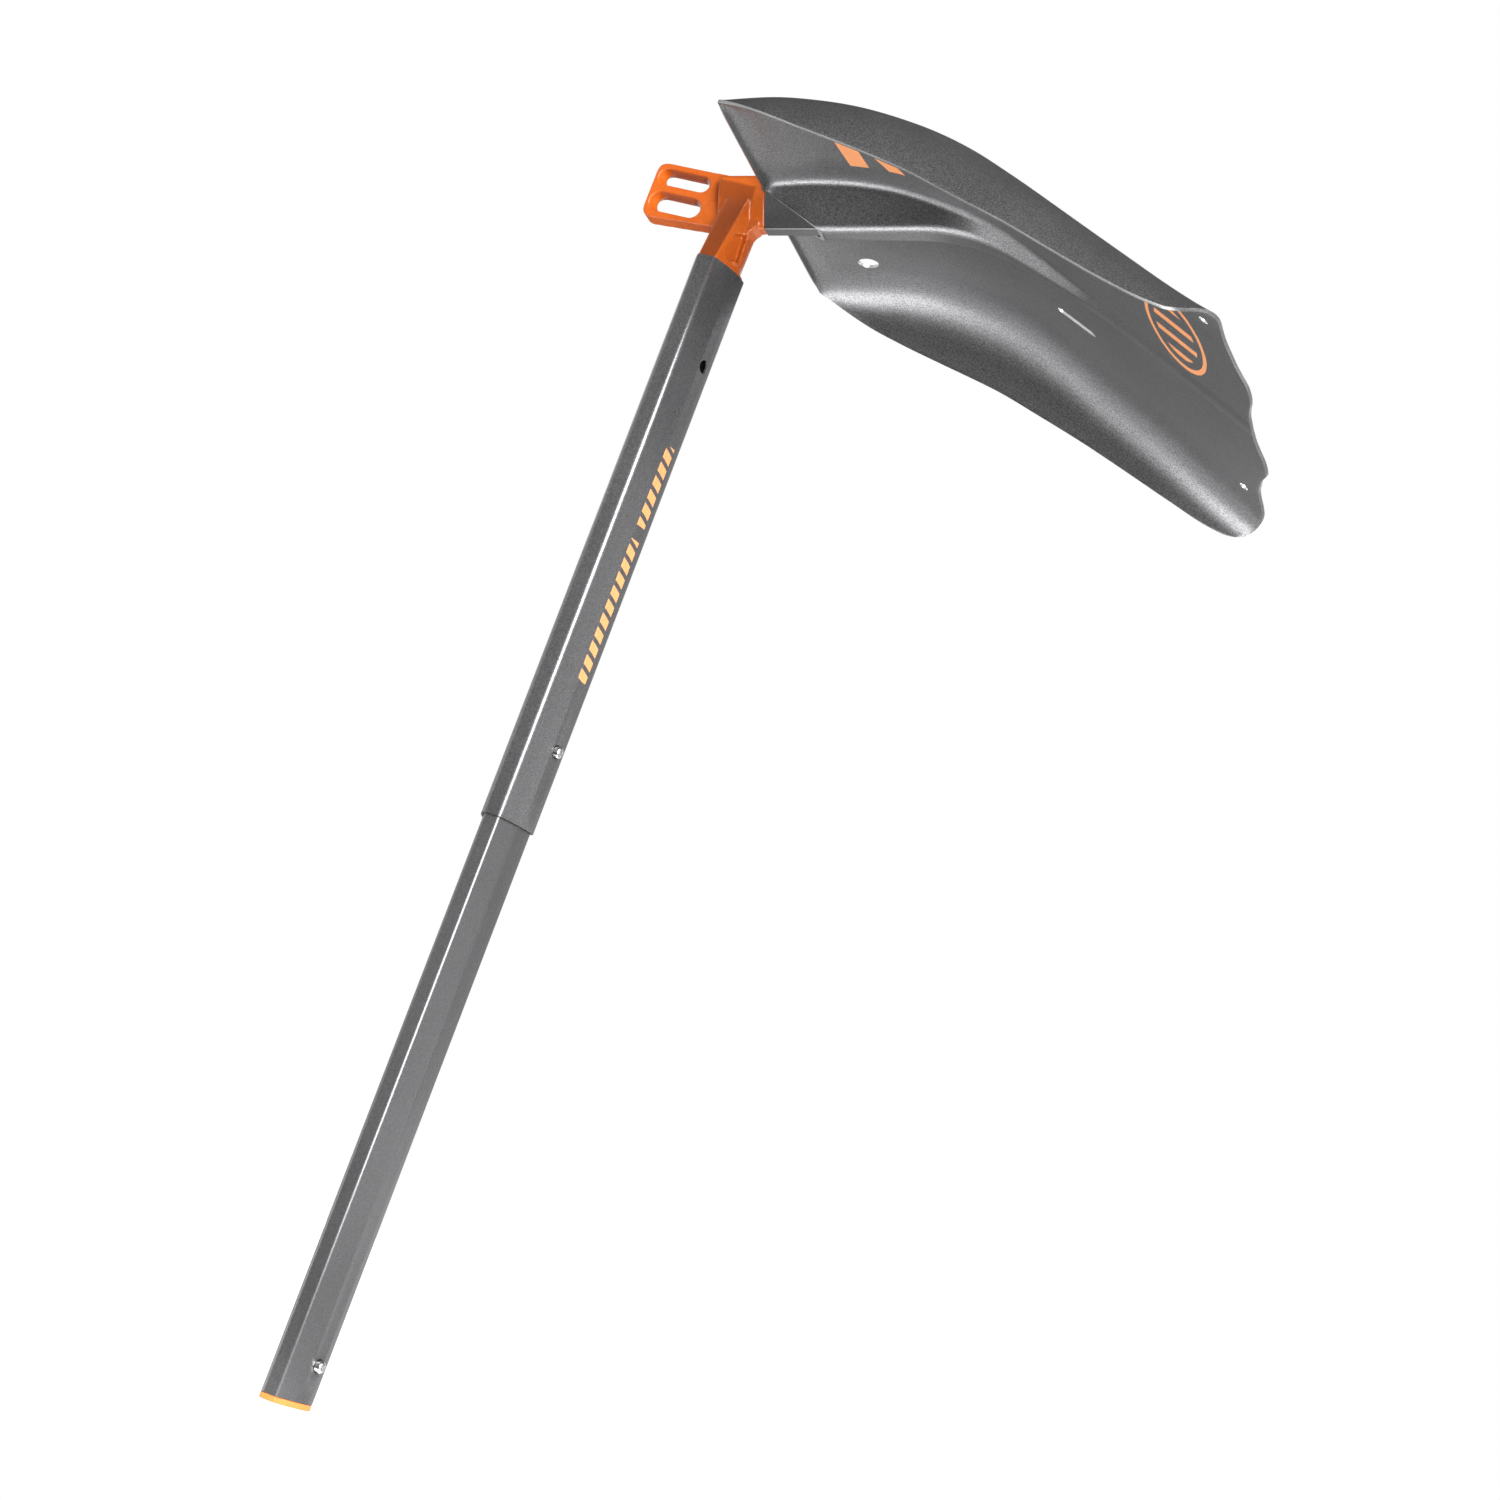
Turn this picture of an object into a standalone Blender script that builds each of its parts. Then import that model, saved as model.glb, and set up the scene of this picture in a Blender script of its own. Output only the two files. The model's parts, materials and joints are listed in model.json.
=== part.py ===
"""Avalanche shovel set up as a hoe: the blade sits on the side spigot of the T-grip, the shaft is drawn out.

Metres. +Z runs up the shaft to the grip, +X from the grip to the cutting edge, Y across the blade.
The origin is the centre of the end plug's flat outer face.
"""

import math

import bmesh
import bpy
import numpy as np
from mathutils import Matrix, Vector

MM = 0.001
GAP = 0.3 * MM

# Shaft: a rounded trapezoid, narrow flat towards -Y, wide back towards +Y.
SHAFT_TOP = 580.1 * MM
SHAFT_JOINT = 284.8 * MM
TUBE_WALL = 1.1 * MM
TUBE_STEP = TUBE_WALL + GAP
SECTION_HALF = ((4.6, -16.4), (9.1, -7.7), (12.5, 1.5), (12.9, 9.8), (9.7, 13.2))
SECTION_RADII = (2.0, 60.0, 24.0, 4.0, 4.0)
LOWER_TUBE_TOP = 346.0 * MM
PLUG_FLANGE = 2.6 * MM
PLUG_DEPTH = 8.0 * MM
GUIDE_TOP = 350.0 * MM
GUIDE_DEPTH = 5.0 * MM
NECK_DEPTH = 17.0 * MM

# Snap buttons and the holes they lock into.
BUTTON_Y = 1.5 * MM
TELESCOPE_Z = 325.0 * MM
UPPER_HOLE_Z = 529.9 * MM
BLADE_LOCK_Z = 20.7 * MM
BUTTON_HOLE_R = 3.35 * MM
STUD_R = 2.95 * MM
STUD_PROUD = 2.3 * MM
LOWER_SIDE = 11.45 * MM
COLLAR_TOP = 7.7 * MM
COLLAR_R = 4.1 * MM
STUD_BASE = 6.1 * MM
LEAF_FAR_WALL = -8.8 * MM
LEAF_WIDTH = 5.6 * MM
LEAF_THICK = 0.7 * MM

# Side spigot, a stub of the lower tube's section, leaning up from the shaft's normal.
SPIGOT_TILT = math.radians(12.9)
SPIGOT_AXIS_Z = SHAFT_TOP + 36.1 * MM
SPIGOT_START = 15.2 * MM
SPIGOT_END = 95.0 * MM
SPIGOT_BUTTON_S = 58.0 * MM
SPIGOT_PLUG_DEPTH = 16.0 * MM

# Grip plate opposite the spigot, with two finger slots.
PLATE_LEFT = -46.5 * MM
PLATE_LOW = 17.6 * MM
PLATE_HIGH = 47.6 * MM
PLATE_HALF_THICK = 5.0 * MM
PLATE_CORNER = 5.5 * MM
SLOT_LEFT = -44.0 * MM
SLOT_RIGHT = -17.8 * MM
SLOT_HEIGHTS = (9.6 * MM, 7.6 * MM)
SLOT_CENTRES = (26.9 * MM, 40.4 * MM)
NECK_HALF = ((4.4, -15.7), (8.6, -7.3), (11.2, 0.5), (9.6, 9.4), (7.6, 12.4))
NECK_RADII = (1.5, 8.0, 8.0, 3.0, 3.0)
NECK_FRONT = ((-15.9, 2.0), (-10.5, 41.0))

# Blade sheet. Each station is (distance from the shaft axis, height above the shaft's top), in mm.
SHEET = 1.6 * MM
REAR_X = 15.8
TIP_X = 281.0
FLOOR_LINE = (
    (15.8, 40.2), (17.0, 42.6), (19.0, 44.3), (22.0, 45.6), (30.0, 48.0), (40.0, 50.5), (60.0, 54.0),
    (80.0, 55.3), (100.0, 54.1), (120.0, 51.2), (140.0, 46.0), (160.0, 38.2), (180.0, 29.5),
    (200.0, 20.5), (225.0, 9.0), (250.0, -3.0), (270.0, -12.5), (284.5, -19.8),
)
EDGE_LINE = (
    (15.8, 40.2), (30.0, 36.5), (42.0, 33.3), (64.0, 28.4), (87.0, 24.0), (100.0, 21.5), (123.0, 16.5),
    (145.0, 10.0), (173.0, 1.6), (198.0, -7.0), (224.0, -16.0), (248.0, -23.4), (262.0, -25.8),
    (284.5, -24.5),
)
EDGE_HALF_WIDTH = (
    (15.8, 100.6), (30.0, 108.8), (42.0, 113.6), (64.0, 117.2), (87.0, 119.4), (123.0, 121.0),
    (150.0, 122.5), (173.0, 124.6), (198.0, 126.2), (224.0, 128.8), (248.0, 132.6), (260.0, 134.0),
    (284.5, 134.0),
)
KNEE_START = (
    (15.8, 78.0), (42.0, 80.0), (87.0, 80.0), (200.0, 80.0), (250.0, 84.0), (284.5, 88.0),
)
WALL_KNEE = (
    (15.8, 94.0), (30.0, 101.0), (42.0, 105.5), (64.0, 108.5), (87.0, 110.5), (123.0, 112.0),
    (150.0, 113.0), (173.0, 115.0), (198.0, 116.5), (224.0, 119.0), (248.0, 122.5), (262.0, 124.0),
    (284.5, 124.0),
)
CREST_LINE = (
    (15.8, 22.1), (60.0, 32.2), (84.0, 37.7), (94.0, 39.9), (101.0, 41.3), (108.0, 42.2), (118.0, 42.5),
    (128.0, 41.9), (138.0, 39.9), (150.0, 36.5), (163.0, 32.3), (175.0, 28.4), (188.0, 24.2),
    (200.0, 19.4), (225.0, 8.2), (250.0, -3.6), (270.0, -13.0), (284.5, -20.2),
)
CREST_HALF_WIDTH = (
    (15.8, 5.8), (80.0, 5.8), (98.0, 5.8), (108.0, 5.8), (118.0, 5.4), (135.0, 4.6), (150.0, 3.8),
    (165.0, 3.0), (180.0, 2.4), (284.5, 2.0),
)
FOOT_HALF_WIDTH = (
    (15.8, 14.4), (80.0, 14.4), (96.0, 14.4), (108.0, 14.4), (127.0, 13.8), (144.0, 12.8),
    (163.0, 11.4), (180.0, 10.0), (230.0, 9.0), (284.5, 8.0),
)
TIP_OUTLINE = (
    (0.0, 280.4), (14.0, 280.4), (24.0, 281.6), (34.0, 283.3), (44.0, 283.8), (52.0, 283.2),
    (60.0, 280.8), (68.0, 278.6), (78.0, 276.8), (88.0, 275.2), (98.0, 274.8), (108.0, 275.4),
    (116.0, 275.4), (122.0, 274.2), (127.0, 272.0), (131.0, 268.2), (133.2, 263.0), (134.0, 257.0),
)
STATIONS = (
    15.8, 16.6, 18.0, 20.0, 22.5, 27.0, 34.0, 42.0, 52.0, 62.0, 74.0, 86.0, 97.0, 106.0, 114.0,
    122.0, 132.0, 142.0, 153.0, 165.0, 177.0, 190.0, 204.0, 218.0, 232.0, 245.0, 256.0, 264.0,
    270.0, 275.0, 279.0, 281.0,
)
CREST_RADIUS = ((15.8, 2.6), (100.0, 2.6), (130.0, 4.5), (180.0, 9.0), (284.5, 12.0))
FOOT_RADIUS = ((15.8, 7.0), (110.0, 7.0), (180.0, 12.0), (284.5, 14.0))
ARC_STEPS = 5
KNEE_STEPS = 12
FLOOR_COLUMNS = 9
MOUTH_FOOT = (14.0, 41.4)
MOUTH_CREST = (49.5, 28.7)
ANCHOR_HOLE = (46.0, 75.0, 5.3)
CORNER_HOLE = (265.0, 96.5, 2.6)
SIDE_SLOT = (171.0, 45.5, 23.0, 5.0)

# Strap over the shaft on the blade's back.
STRAP_THICK = 1.5 * MM
STRAP_STATIONS = (26.0, 36.0, 46.0, 56.0, 66.0, 76.0, 86.0, 96.0)
STRAP_FLANGE = 26.0

DARK_ALU = (0.135, 0.135, 0.138, 1.0)
BLADE_ALU = (0.15, 0.15, 0.152, 1.0)
ORANGE = (0.62, 0.10, 0.012, 1.0)
PALE_ORANGE = (0.85, 0.28, 0.07, 1.0)
STEEL = (0.60, 0.60, 0.58, 1.0)
BLACK_PLASTIC = (0.02, 0.02, 0.02, 1.0)


def clear_scene():
    for obj in list(bpy.data.objects):
        bpy.data.objects.remove(obj, do_unlink=True)


def make_collection(name):
    made = bpy.data.collections.new(name)
    bpy.context.scene.collection.children.link(made)
    return made


def make_material(name, colour, roughness, metallic):
    made = bpy.data.materials.new(name)
    made.use_nodes = True
    shader = made.node_tree.nodes["Principled BSDF"]
    shader.inputs["Base Color"].default_value = colour
    shader.inputs["Roughness"].default_value = roughness
    shader.inputs["Metallic"].default_value = metallic
    made.diffuse_color = colour
    return made


def smooth(mesh, degrees=34.0):
    mesh.shade_smooth()
    mesh.set_sharp_from_angle(angle=math.radians(degrees))


def add_object(name, mesh, home, material=None, matrix=None):
    made = bpy.data.objects.new(name, mesh)
    home.objects.link(made)
    if matrix is not None:
        made.matrix_world = matrix
    if material is not None:
        mesh.materials.append(material)
    return made


def hide_helper(obj):
    obj.hide_render = True
    obj.display_type = "WIRE"


def line_at(line, x):
    """Height of a drawn line at x, smoothed so that neighbouring stations join without a kink."""
    xs = np.array([point[0] for point in line])
    ys = np.array([point[1] for point in line])
    slopes = np.gradient(ys, xs)
    i = int(np.clip(np.searchsorted(xs, x) - 1, 0, len(xs) - 2))
    span = xs[i + 1] - xs[i]
    t = float(np.clip((x - xs[i]) / span, 0.0, 1.0))
    h = (2 * t**3 - 3 * t**2 + 1, t**3 - 2 * t**2 + t, -2 * t**3 + 3 * t**2, t**3 - t**2)
    return float(h[0] * ys[i] + h[1] * span * slopes[i] + h[2] * ys[i + 1] + h[3] * span * slopes[i + 1])


def rounded(points, radii, steps, closed=True):
    """The outline with each corner replaced by an arc of its radius."""
    points = [np.array(point, float) for point in points]
    count = len(points)
    out = []
    for i, corner in enumerate(points):
        if not closed and i in (0, count - 1):
            out.append(corner)
            continue
        before = points[i - 1] - corner
        after = points[(i + 1) % count] - corner
        reach_before, reach_after = np.linalg.norm(before), np.linalg.norm(after)
        before, after = before / reach_before, after / reach_after
        half = 0.5 * math.acos(float(np.clip(before @ after, -1.0, 1.0)))
        radius = radii[i]
        back = min(radius / max(math.tan(half), 1e-6), 0.46 * reach_before, 0.46 * reach_after)
        start, end = corner + before * back, corner + after * back
        for k in range(steps + 1):
            t = k / steps
            out.append((1 - t) ** 2 * start + 2 * t * (1 - t) * corner + t**2 * end)
    return out


def offset(points, distance):
    """A closed outline moved inwards by the distance, for an outline that runs anticlockwise."""
    points = [np.array(point, float) for point in points]
    out = []
    for i, point in enumerate(points):
        along = point - points[i - 1]
        onward = points[(i + 1) % len(points)] - point
        left = np.array((-along[1], along[0])) / np.linalg.norm(along)
        right = np.array((-onward[1], onward[0])) / np.linalg.norm(onward)
        mitre = (left + right) / (1.0 + left @ right)
        out.append(point + mitre * distance)
    return out


def shaft_section(inwards, half=SECTION_HALF, corner_radii=SECTION_RADII):
    """Closed outline from its right half, which is the shaft's outside unless given, moved inwards."""
    right = [(x * MM, y * MM) for x, y in half]
    left = [(-x, y) for x, y in reversed(right)]
    radii = [radius * MM for radius in corner_radii]
    sharp = offset(right + left, inwards)
    inner = [max(radius - inwards, 0.8 * MM) for radius in radii]
    return rounded(sharp, inner + inner[::-1], 3)


def prism(name, outlines, start, end, home, material=None, matrix=None):
    """A flat outline, with any holes, drawn as a filled 2D curve and pulled from start to end along its Z."""
    curve = bpy.data.curves.new(name + "_outline", "CURVE")
    curve.dimensions = "2D"
    curve.fill_mode = "BOTH"
    curve.extrude = (end - start) / 2
    for outline in outlines:
        spline = curve.splines.new("POLY")
        spline.points.add(len(outline) - 1)
        for point, place in zip(spline.points, outline):
            point.co = (place[0], place[1], 0.0, 1.0)
        spline.use_cyclic_u = True
    drawn = bpy.data.objects.new(name + "_curve", curve)
    bpy.context.scene.collection.objects.link(drawn)
    graph = bpy.context.evaluated_depsgraph_get()
    mesh = bpy.data.meshes.new_from_object(drawn.evaluated_get(graph))
    bpy.data.objects.remove(drawn, do_unlink=True)
    work = bmesh.new()
    work.from_mesh(mesh)
    bmesh.ops.remove_doubles(work, verts=work.verts, dist=1e-6)
    bmesh.ops.translate(work, verts=work.verts, vec=(0.0, 0.0, (start + end) / 2))
    bmesh.ops.recalc_face_normals(work, faces=work.faces)
    work.to_mesh(mesh)
    work.free()
    mesh.name = name
    mesh.materials.clear()
    smooth(mesh)
    return add_object(name, mesh, home, material, matrix)


def turned(name, profile, home, material=None, matrix=None, steps=24):
    """A solid of revolution about its own Z; the profile runs down the outer side."""
    mesh = bpy.data.meshes.new(name)
    points = [(radius, 0.0, height) for radius, height in profile]
    mesh.from_pydata(points, [(i, i + 1) for i in range(len(points) - 1)], [])
    made = add_object(name, mesh, home, material, matrix)
    screw = made.modifiers.new("turn", "SCREW")
    screw.axis = "Z"
    screw.steps = steps
    screw.render_steps = steps
    screw.use_merge_vertices = True
    screw.merge_threshold = 0.00001
    screw.use_smooth_shade = True
    return made


def cut(target, cutter, operation="DIFFERENCE"):
    modifier = target.modifiers.new(operation.lower() + "_" + cutter.name, "BOOLEAN")
    modifier.operation = operation
    modifier.solver = "EXACT"
    modifier.object = cutter


def pointing(place, direction, roll=(0.0, 0.0, 1.0)):
    """A frame at the place whose Z runs along the direction."""
    along = Vector(direction).normalized()
    side = Vector(roll).cross(along)
    if side.length < 1e-6:
        side = Vector((0.0, 1.0, 0.0)).cross(along)
    side.normalize()
    upward = along.cross(side)
    turn = Matrix((side, upward, along)).transposed().to_4x4()
    return Matrix.Translation(Vector(place)) @ turn


def spigot_frame():
    """X is the blade's width, Y the spigot's back, Z its length; the origin is on the shaft's axis."""
    along = Vector((math.cos(SPIGOT_TILT), 0.0, math.sin(SPIGOT_TILT)))
    back = Vector((-math.sin(SPIGOT_TILT), 0.0, math.cos(SPIGOT_TILT)))
    across = back.cross(along)
    turn = Matrix((across, back, along)).transposed().to_4x4()
    return Matrix.Translation((0.0, 0.0, SPIGOT_AXIS_Z)) @ turn


def plane_yz():
    """A frame whose X is +Y, whose Y is +Z and whose Z is +X."""
    return Matrix(((0, 0, 1), (1, 0, 0), (0, 1, 0))).to_4x4()


def plane_xz(y):
    """A frame whose X is +X, whose Y is +Z and whose Z is -Y, at the given y."""
    turn = Matrix(((1, 0, 0), (0, 0, -1), (0, 1, 0))).to_4x4()
    return Matrix.Translation((0.0, y, 0.0)) @ turn


def drill(name, radius, length, place, direction, helpers, steps=24):
    profile = ((0.0, length / 2), (radius, length / 2), (radius, -length / 2), (0.0, -length / 2))
    made = turned(name, profile, helpers, matrix=pointing(place, direction), steps=steps)
    hide_helper(made)
    return made


def make_tubes(home, helpers, metal):
    outer, inner = shaft_section(0.0), shaft_section(TUBE_WALL)
    upper = prism("upper_shaft_tube", (outer, inner), SHAFT_JOINT, SHAFT_TOP, home, metal)
    outer, inner = shaft_section(TUBE_STEP), shaft_section(TUBE_STEP + TUBE_WALL)
    lower = prism("lower_shaft_tube", (outer, inner), PLUG_FLANGE + GAP, LOWER_TUBE_TOP, home, metal)
    side = 11.0 * MM
    for name, tube, height in (
        ("upper_lock_drill", upper, UPPER_HOLE_Z),
        ("telescope_drill", upper, TELESCOPE_Z),
        ("telescope_inner_drill", lower, TELESCOPE_Z),
        ("blade_lock_drill", lower, BLADE_LOCK_Z),
    ):
        cut(tube, drill(name, BUTTON_HOLE_R, 10 * MM, (side, BUTTON_Y, height), (1, 0, 0), helpers))
    for sign, name in ((-1, "left"), (1, "right")):
        place = (sign * 5.0 * MM, 13.0 * MM, SHAFT_TOP - 9.0 * MM)
        cut(upper, drill("grip_rivet_drill_" + name, 1.9 * MM, 5 * MM, place, (0, 1, 0), helpers, 16))
    return upper, lower


def make_end_plug(home, helpers, plastic):
    """The flat cap on the shaft's free end, with a hollow neck inside the tube."""
    flange = prism("shaft_end_plug", (shaft_section(TUBE_STEP),), 0.0, PLUG_FLANGE, home, plastic)
    reach = TUBE_STEP + TUBE_WALL + 0.15 * MM
    loops = (shaft_section(reach), shaft_section(reach + 1.6 * MM))
    neck = prism("end_plug_neck", loops, PLUG_FLANGE - 0.5 * MM, PLUG_FLANGE + PLUG_DEPTH, helpers)
    hide_helper(neck)
    cut(flange, neck, "UNION")


def make_tube_guide(home, helpers, plastic):
    """The bush on top of the lower tube that centres it in the upper one."""
    collar = (shaft_section(TUBE_STEP - 0.05 * MM), shaft_section(TUBE_STEP + 4.0 * MM))
    guide = prism("tube_guide_bush", collar, LOWER_TUBE_TOP + GAP, GUIDE_TOP, home, plastic)
    reach = TUBE_STEP + TUBE_WALL + 0.15 * MM
    loops = (shaft_section(reach), shaft_section(reach + 1.4 * MM))
    neck = prism("guide_neck", loops, LOWER_TUBE_TOP - GUIDE_DEPTH, LOWER_TUBE_TOP + 1.5 * MM, helpers)
    hide_helper(neck)
    cut(guide, neck, "UNION")


def make_stud(name, frame, top, home, metal):
    """A snap button: domed stud with a collar inside the wall. Its frame's Z points out of the tube."""
    profile = (
        (0.0, top),
        (0.45 * STUD_R, top - 0.08 * MM),
        (0.78 * STUD_R, top - 0.42 * MM),
        (0.96 * STUD_R, top - 1.0 * MM),
        (STUD_R, top - 1.6 * MM),
        (STUD_R, COLLAR_TOP),
        (COLLAR_R, COLLAR_TOP),
        (COLLAR_R, COLLAR_TOP - 0.9 * MM),
        (2.0 * MM, COLLAR_TOP - 0.9 * MM),
        (2.0 * MM, STUD_BASE),
        (0.0, STUD_BASE),
    )
    return turned(name, profile, home, metal, frame)


def make_leaf(name, frame, home, metal, lean=1.0):
    """The folded leaf spring behind a stud. Its frame's X runs along the tube, its Y out of the button."""
    near = STUD_BASE - GAP - LEAF_THICK / 2
    far = LEAF_FAR_WALL + GAP + LEAF_THICK / 2
    fold = 0.35 * near + 0.65 * far
    line = (
        (-5.0, near), (4.0, near), (9.0, near - 1.4 * MM), (24.0, fold + 2.0 * MM),
        (26.0, fold), (24.5, fold - 1.6 * MM), (8.0, far + 0.6 * MM), (4.0, far), (-6.0, far),
    )
    path = [np.array((lean * x * MM, y)) for x, y in line]
    sides = ([], [])
    for i, point in enumerate(path):
        before = point - path[i - 1] if i else path[1] - path[0]
        after = path[i + 1] - point if i + 1 < len(path) else before
        before, after = before / np.linalg.norm(before), after / np.linalg.norm(after)
        normal = np.array((-(before + after)[1], (before + after)[0]))
        normal /= np.linalg.norm(normal)
        reach = LEAF_THICK / 2 / max(0.5, float(normal @ np.array((-before[1], before[0]))))
        sides[0].append(point + normal * reach)
        sides[1].append(point - normal * reach)
    outline = sides[0] + sides[1][::-1]
    if lean > 0:
        outline = outline[::-1]
    half = LEAF_WIDTH / 2
    return prism(name, (outline,), -half, half, home, metal, frame)


def make_shaft_buttons(home, steel):
    """The telescope's button and the blade lock's button, both on the shaft's +X side."""
    leaf_frame = Matrix(((0, 1, 0), (0, 0, 1), (1, 0, 0))).to_4x4()
    for name, height, walls, lean in (
        ("telescope_button", TELESCOPE_Z, TUBE_STEP, -1.0),
        ("blade_lock_button", BLADE_LOCK_Z, 0.0, 1.0),
    ):
        place = (0.0, BUTTON_Y, height)
        top = LOWER_SIDE + walls + STUD_PROUD
        make_stud(name, pointing(place, (1, 0, 0)), top, home, steel)
        make_leaf(name + "_spring", Matrix.Translation(place) @ leaf_frame, home, steel, lean)


def make_spigot(home, helpers, metal, steel, plastic):
    frame = spigot_frame()
    loops = (shaft_section(TUBE_STEP), shaft_section(TUBE_STEP + TUBE_WALL))
    tube = prism("hoe_spigot_tube", loops, SPIGOT_START + GAP, SPIGOT_END, home, metal, frame)
    place = frame @ Vector((11.0 * MM, BUTTON_Y, SPIGOT_BUTTON_S))
    out = frame.to_3x3() @ Vector((1.0, 0.0, 0.0))
    cut(tube, drill("spigot_lock_drill", BUTTON_HOLE_R, 8 * MM, place, out, helpers))
    back = frame.to_3x3() @ Vector((0.0, 1.0, 0.0))
    for sign, name in ((-1, "left"), (1, "right")):
        place = frame @ Vector((sign * 4.6 * MM, 12.0 * MM, SPIGOT_START + 8.0 * MM))
        cut(tube, drill("spigot_rivet_drill_" + name, 1.9 * MM, 5 * MM, place, back, helpers, 16))
    seat = Vector((0.0, BUTTON_Y, SPIGOT_BUTTON_S))
    make_stud("spigot_button", pointing(frame @ seat, out), LOWER_SIDE + STUD_PROUD, home, steel)
    turn = Matrix(((0, 1, 0), (0, 0, 1), (1, 0, 0))).to_4x4()
    make_leaf("spigot_button_spring", frame @ Matrix.Translation(seat) @ turn, home, steel, -1.0)
    cap = prism(
        "spigot_end_cap", (shaft_section(TUBE_STEP + 0.1 * MM),), SPIGOT_END + GAP,
        SPIGOT_END + 1.8 * MM, home, plastic, frame,
    )
    reach = TUBE_STEP + TUBE_WALL + 0.15 * MM
    rings = (shaft_section(reach), shaft_section(reach + 1.4 * MM))
    neck = prism("spigot_cap_neck", rings, SPIGOT_END - 6.0 * MM, SPIGOT_END + 1.0 * MM, helpers, None, frame)
    hide_helper(neck)
    cut(cap, neck, "UNION")


def make_rivet(name, frame, home, metal):
    profile = (
        (0.0, 1.5 * MM), (1.5 * MM, 1.35 * MM), (2.6 * MM, 0.85 * MM), (3.1 * MM, 0.2 * MM),
        (3.1 * MM, 0.0), (1.6 * MM, 0.0), (1.6 * MM, -6.0 * MM), (0.0, -6.0 * MM),
    )
    return turned(name, profile, home, metal, frame, 20)


def make_rivets(home, steel):
    """Blind rivets on the back faces that hold the casting in the shaft and in the spigot."""
    frame = spigot_frame()
    back = frame.to_3x3() @ Vector((0.0, 1.0, 0.0))
    for sign, name in ((-1, "left"), (1, "right")):
        place = (sign * 5.0 * MM, 13.2 * MM + GAP / 2, SHAFT_TOP - 9.0 * MM)
        make_rivet("grip_rivet_" + name, pointing(place, (0, 1, 0)), home, steel)
        seat = frame @ Vector((sign * 4.6 * MM, 11.8 * MM + GAP / 2, SPIGOT_START + 8.0 * MM))
        make_rivet("spigot_rivet_" + name, pointing(seat, back), home, steel)


def slot_outline(left, right, centre, height):
    half = height / 2
    points = []
    for k in range(9):
        angle = -math.pi / 2 + math.pi * k / 8
        points.append((right - half + half * math.cos(angle), centre + half * math.sin(angle)))
    for k in range(9):
        angle = math.pi / 2 + math.pi * k / 8
        points.append((left + half + half * math.cos(angle), centre + half * math.sin(angle)))
    return points


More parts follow.
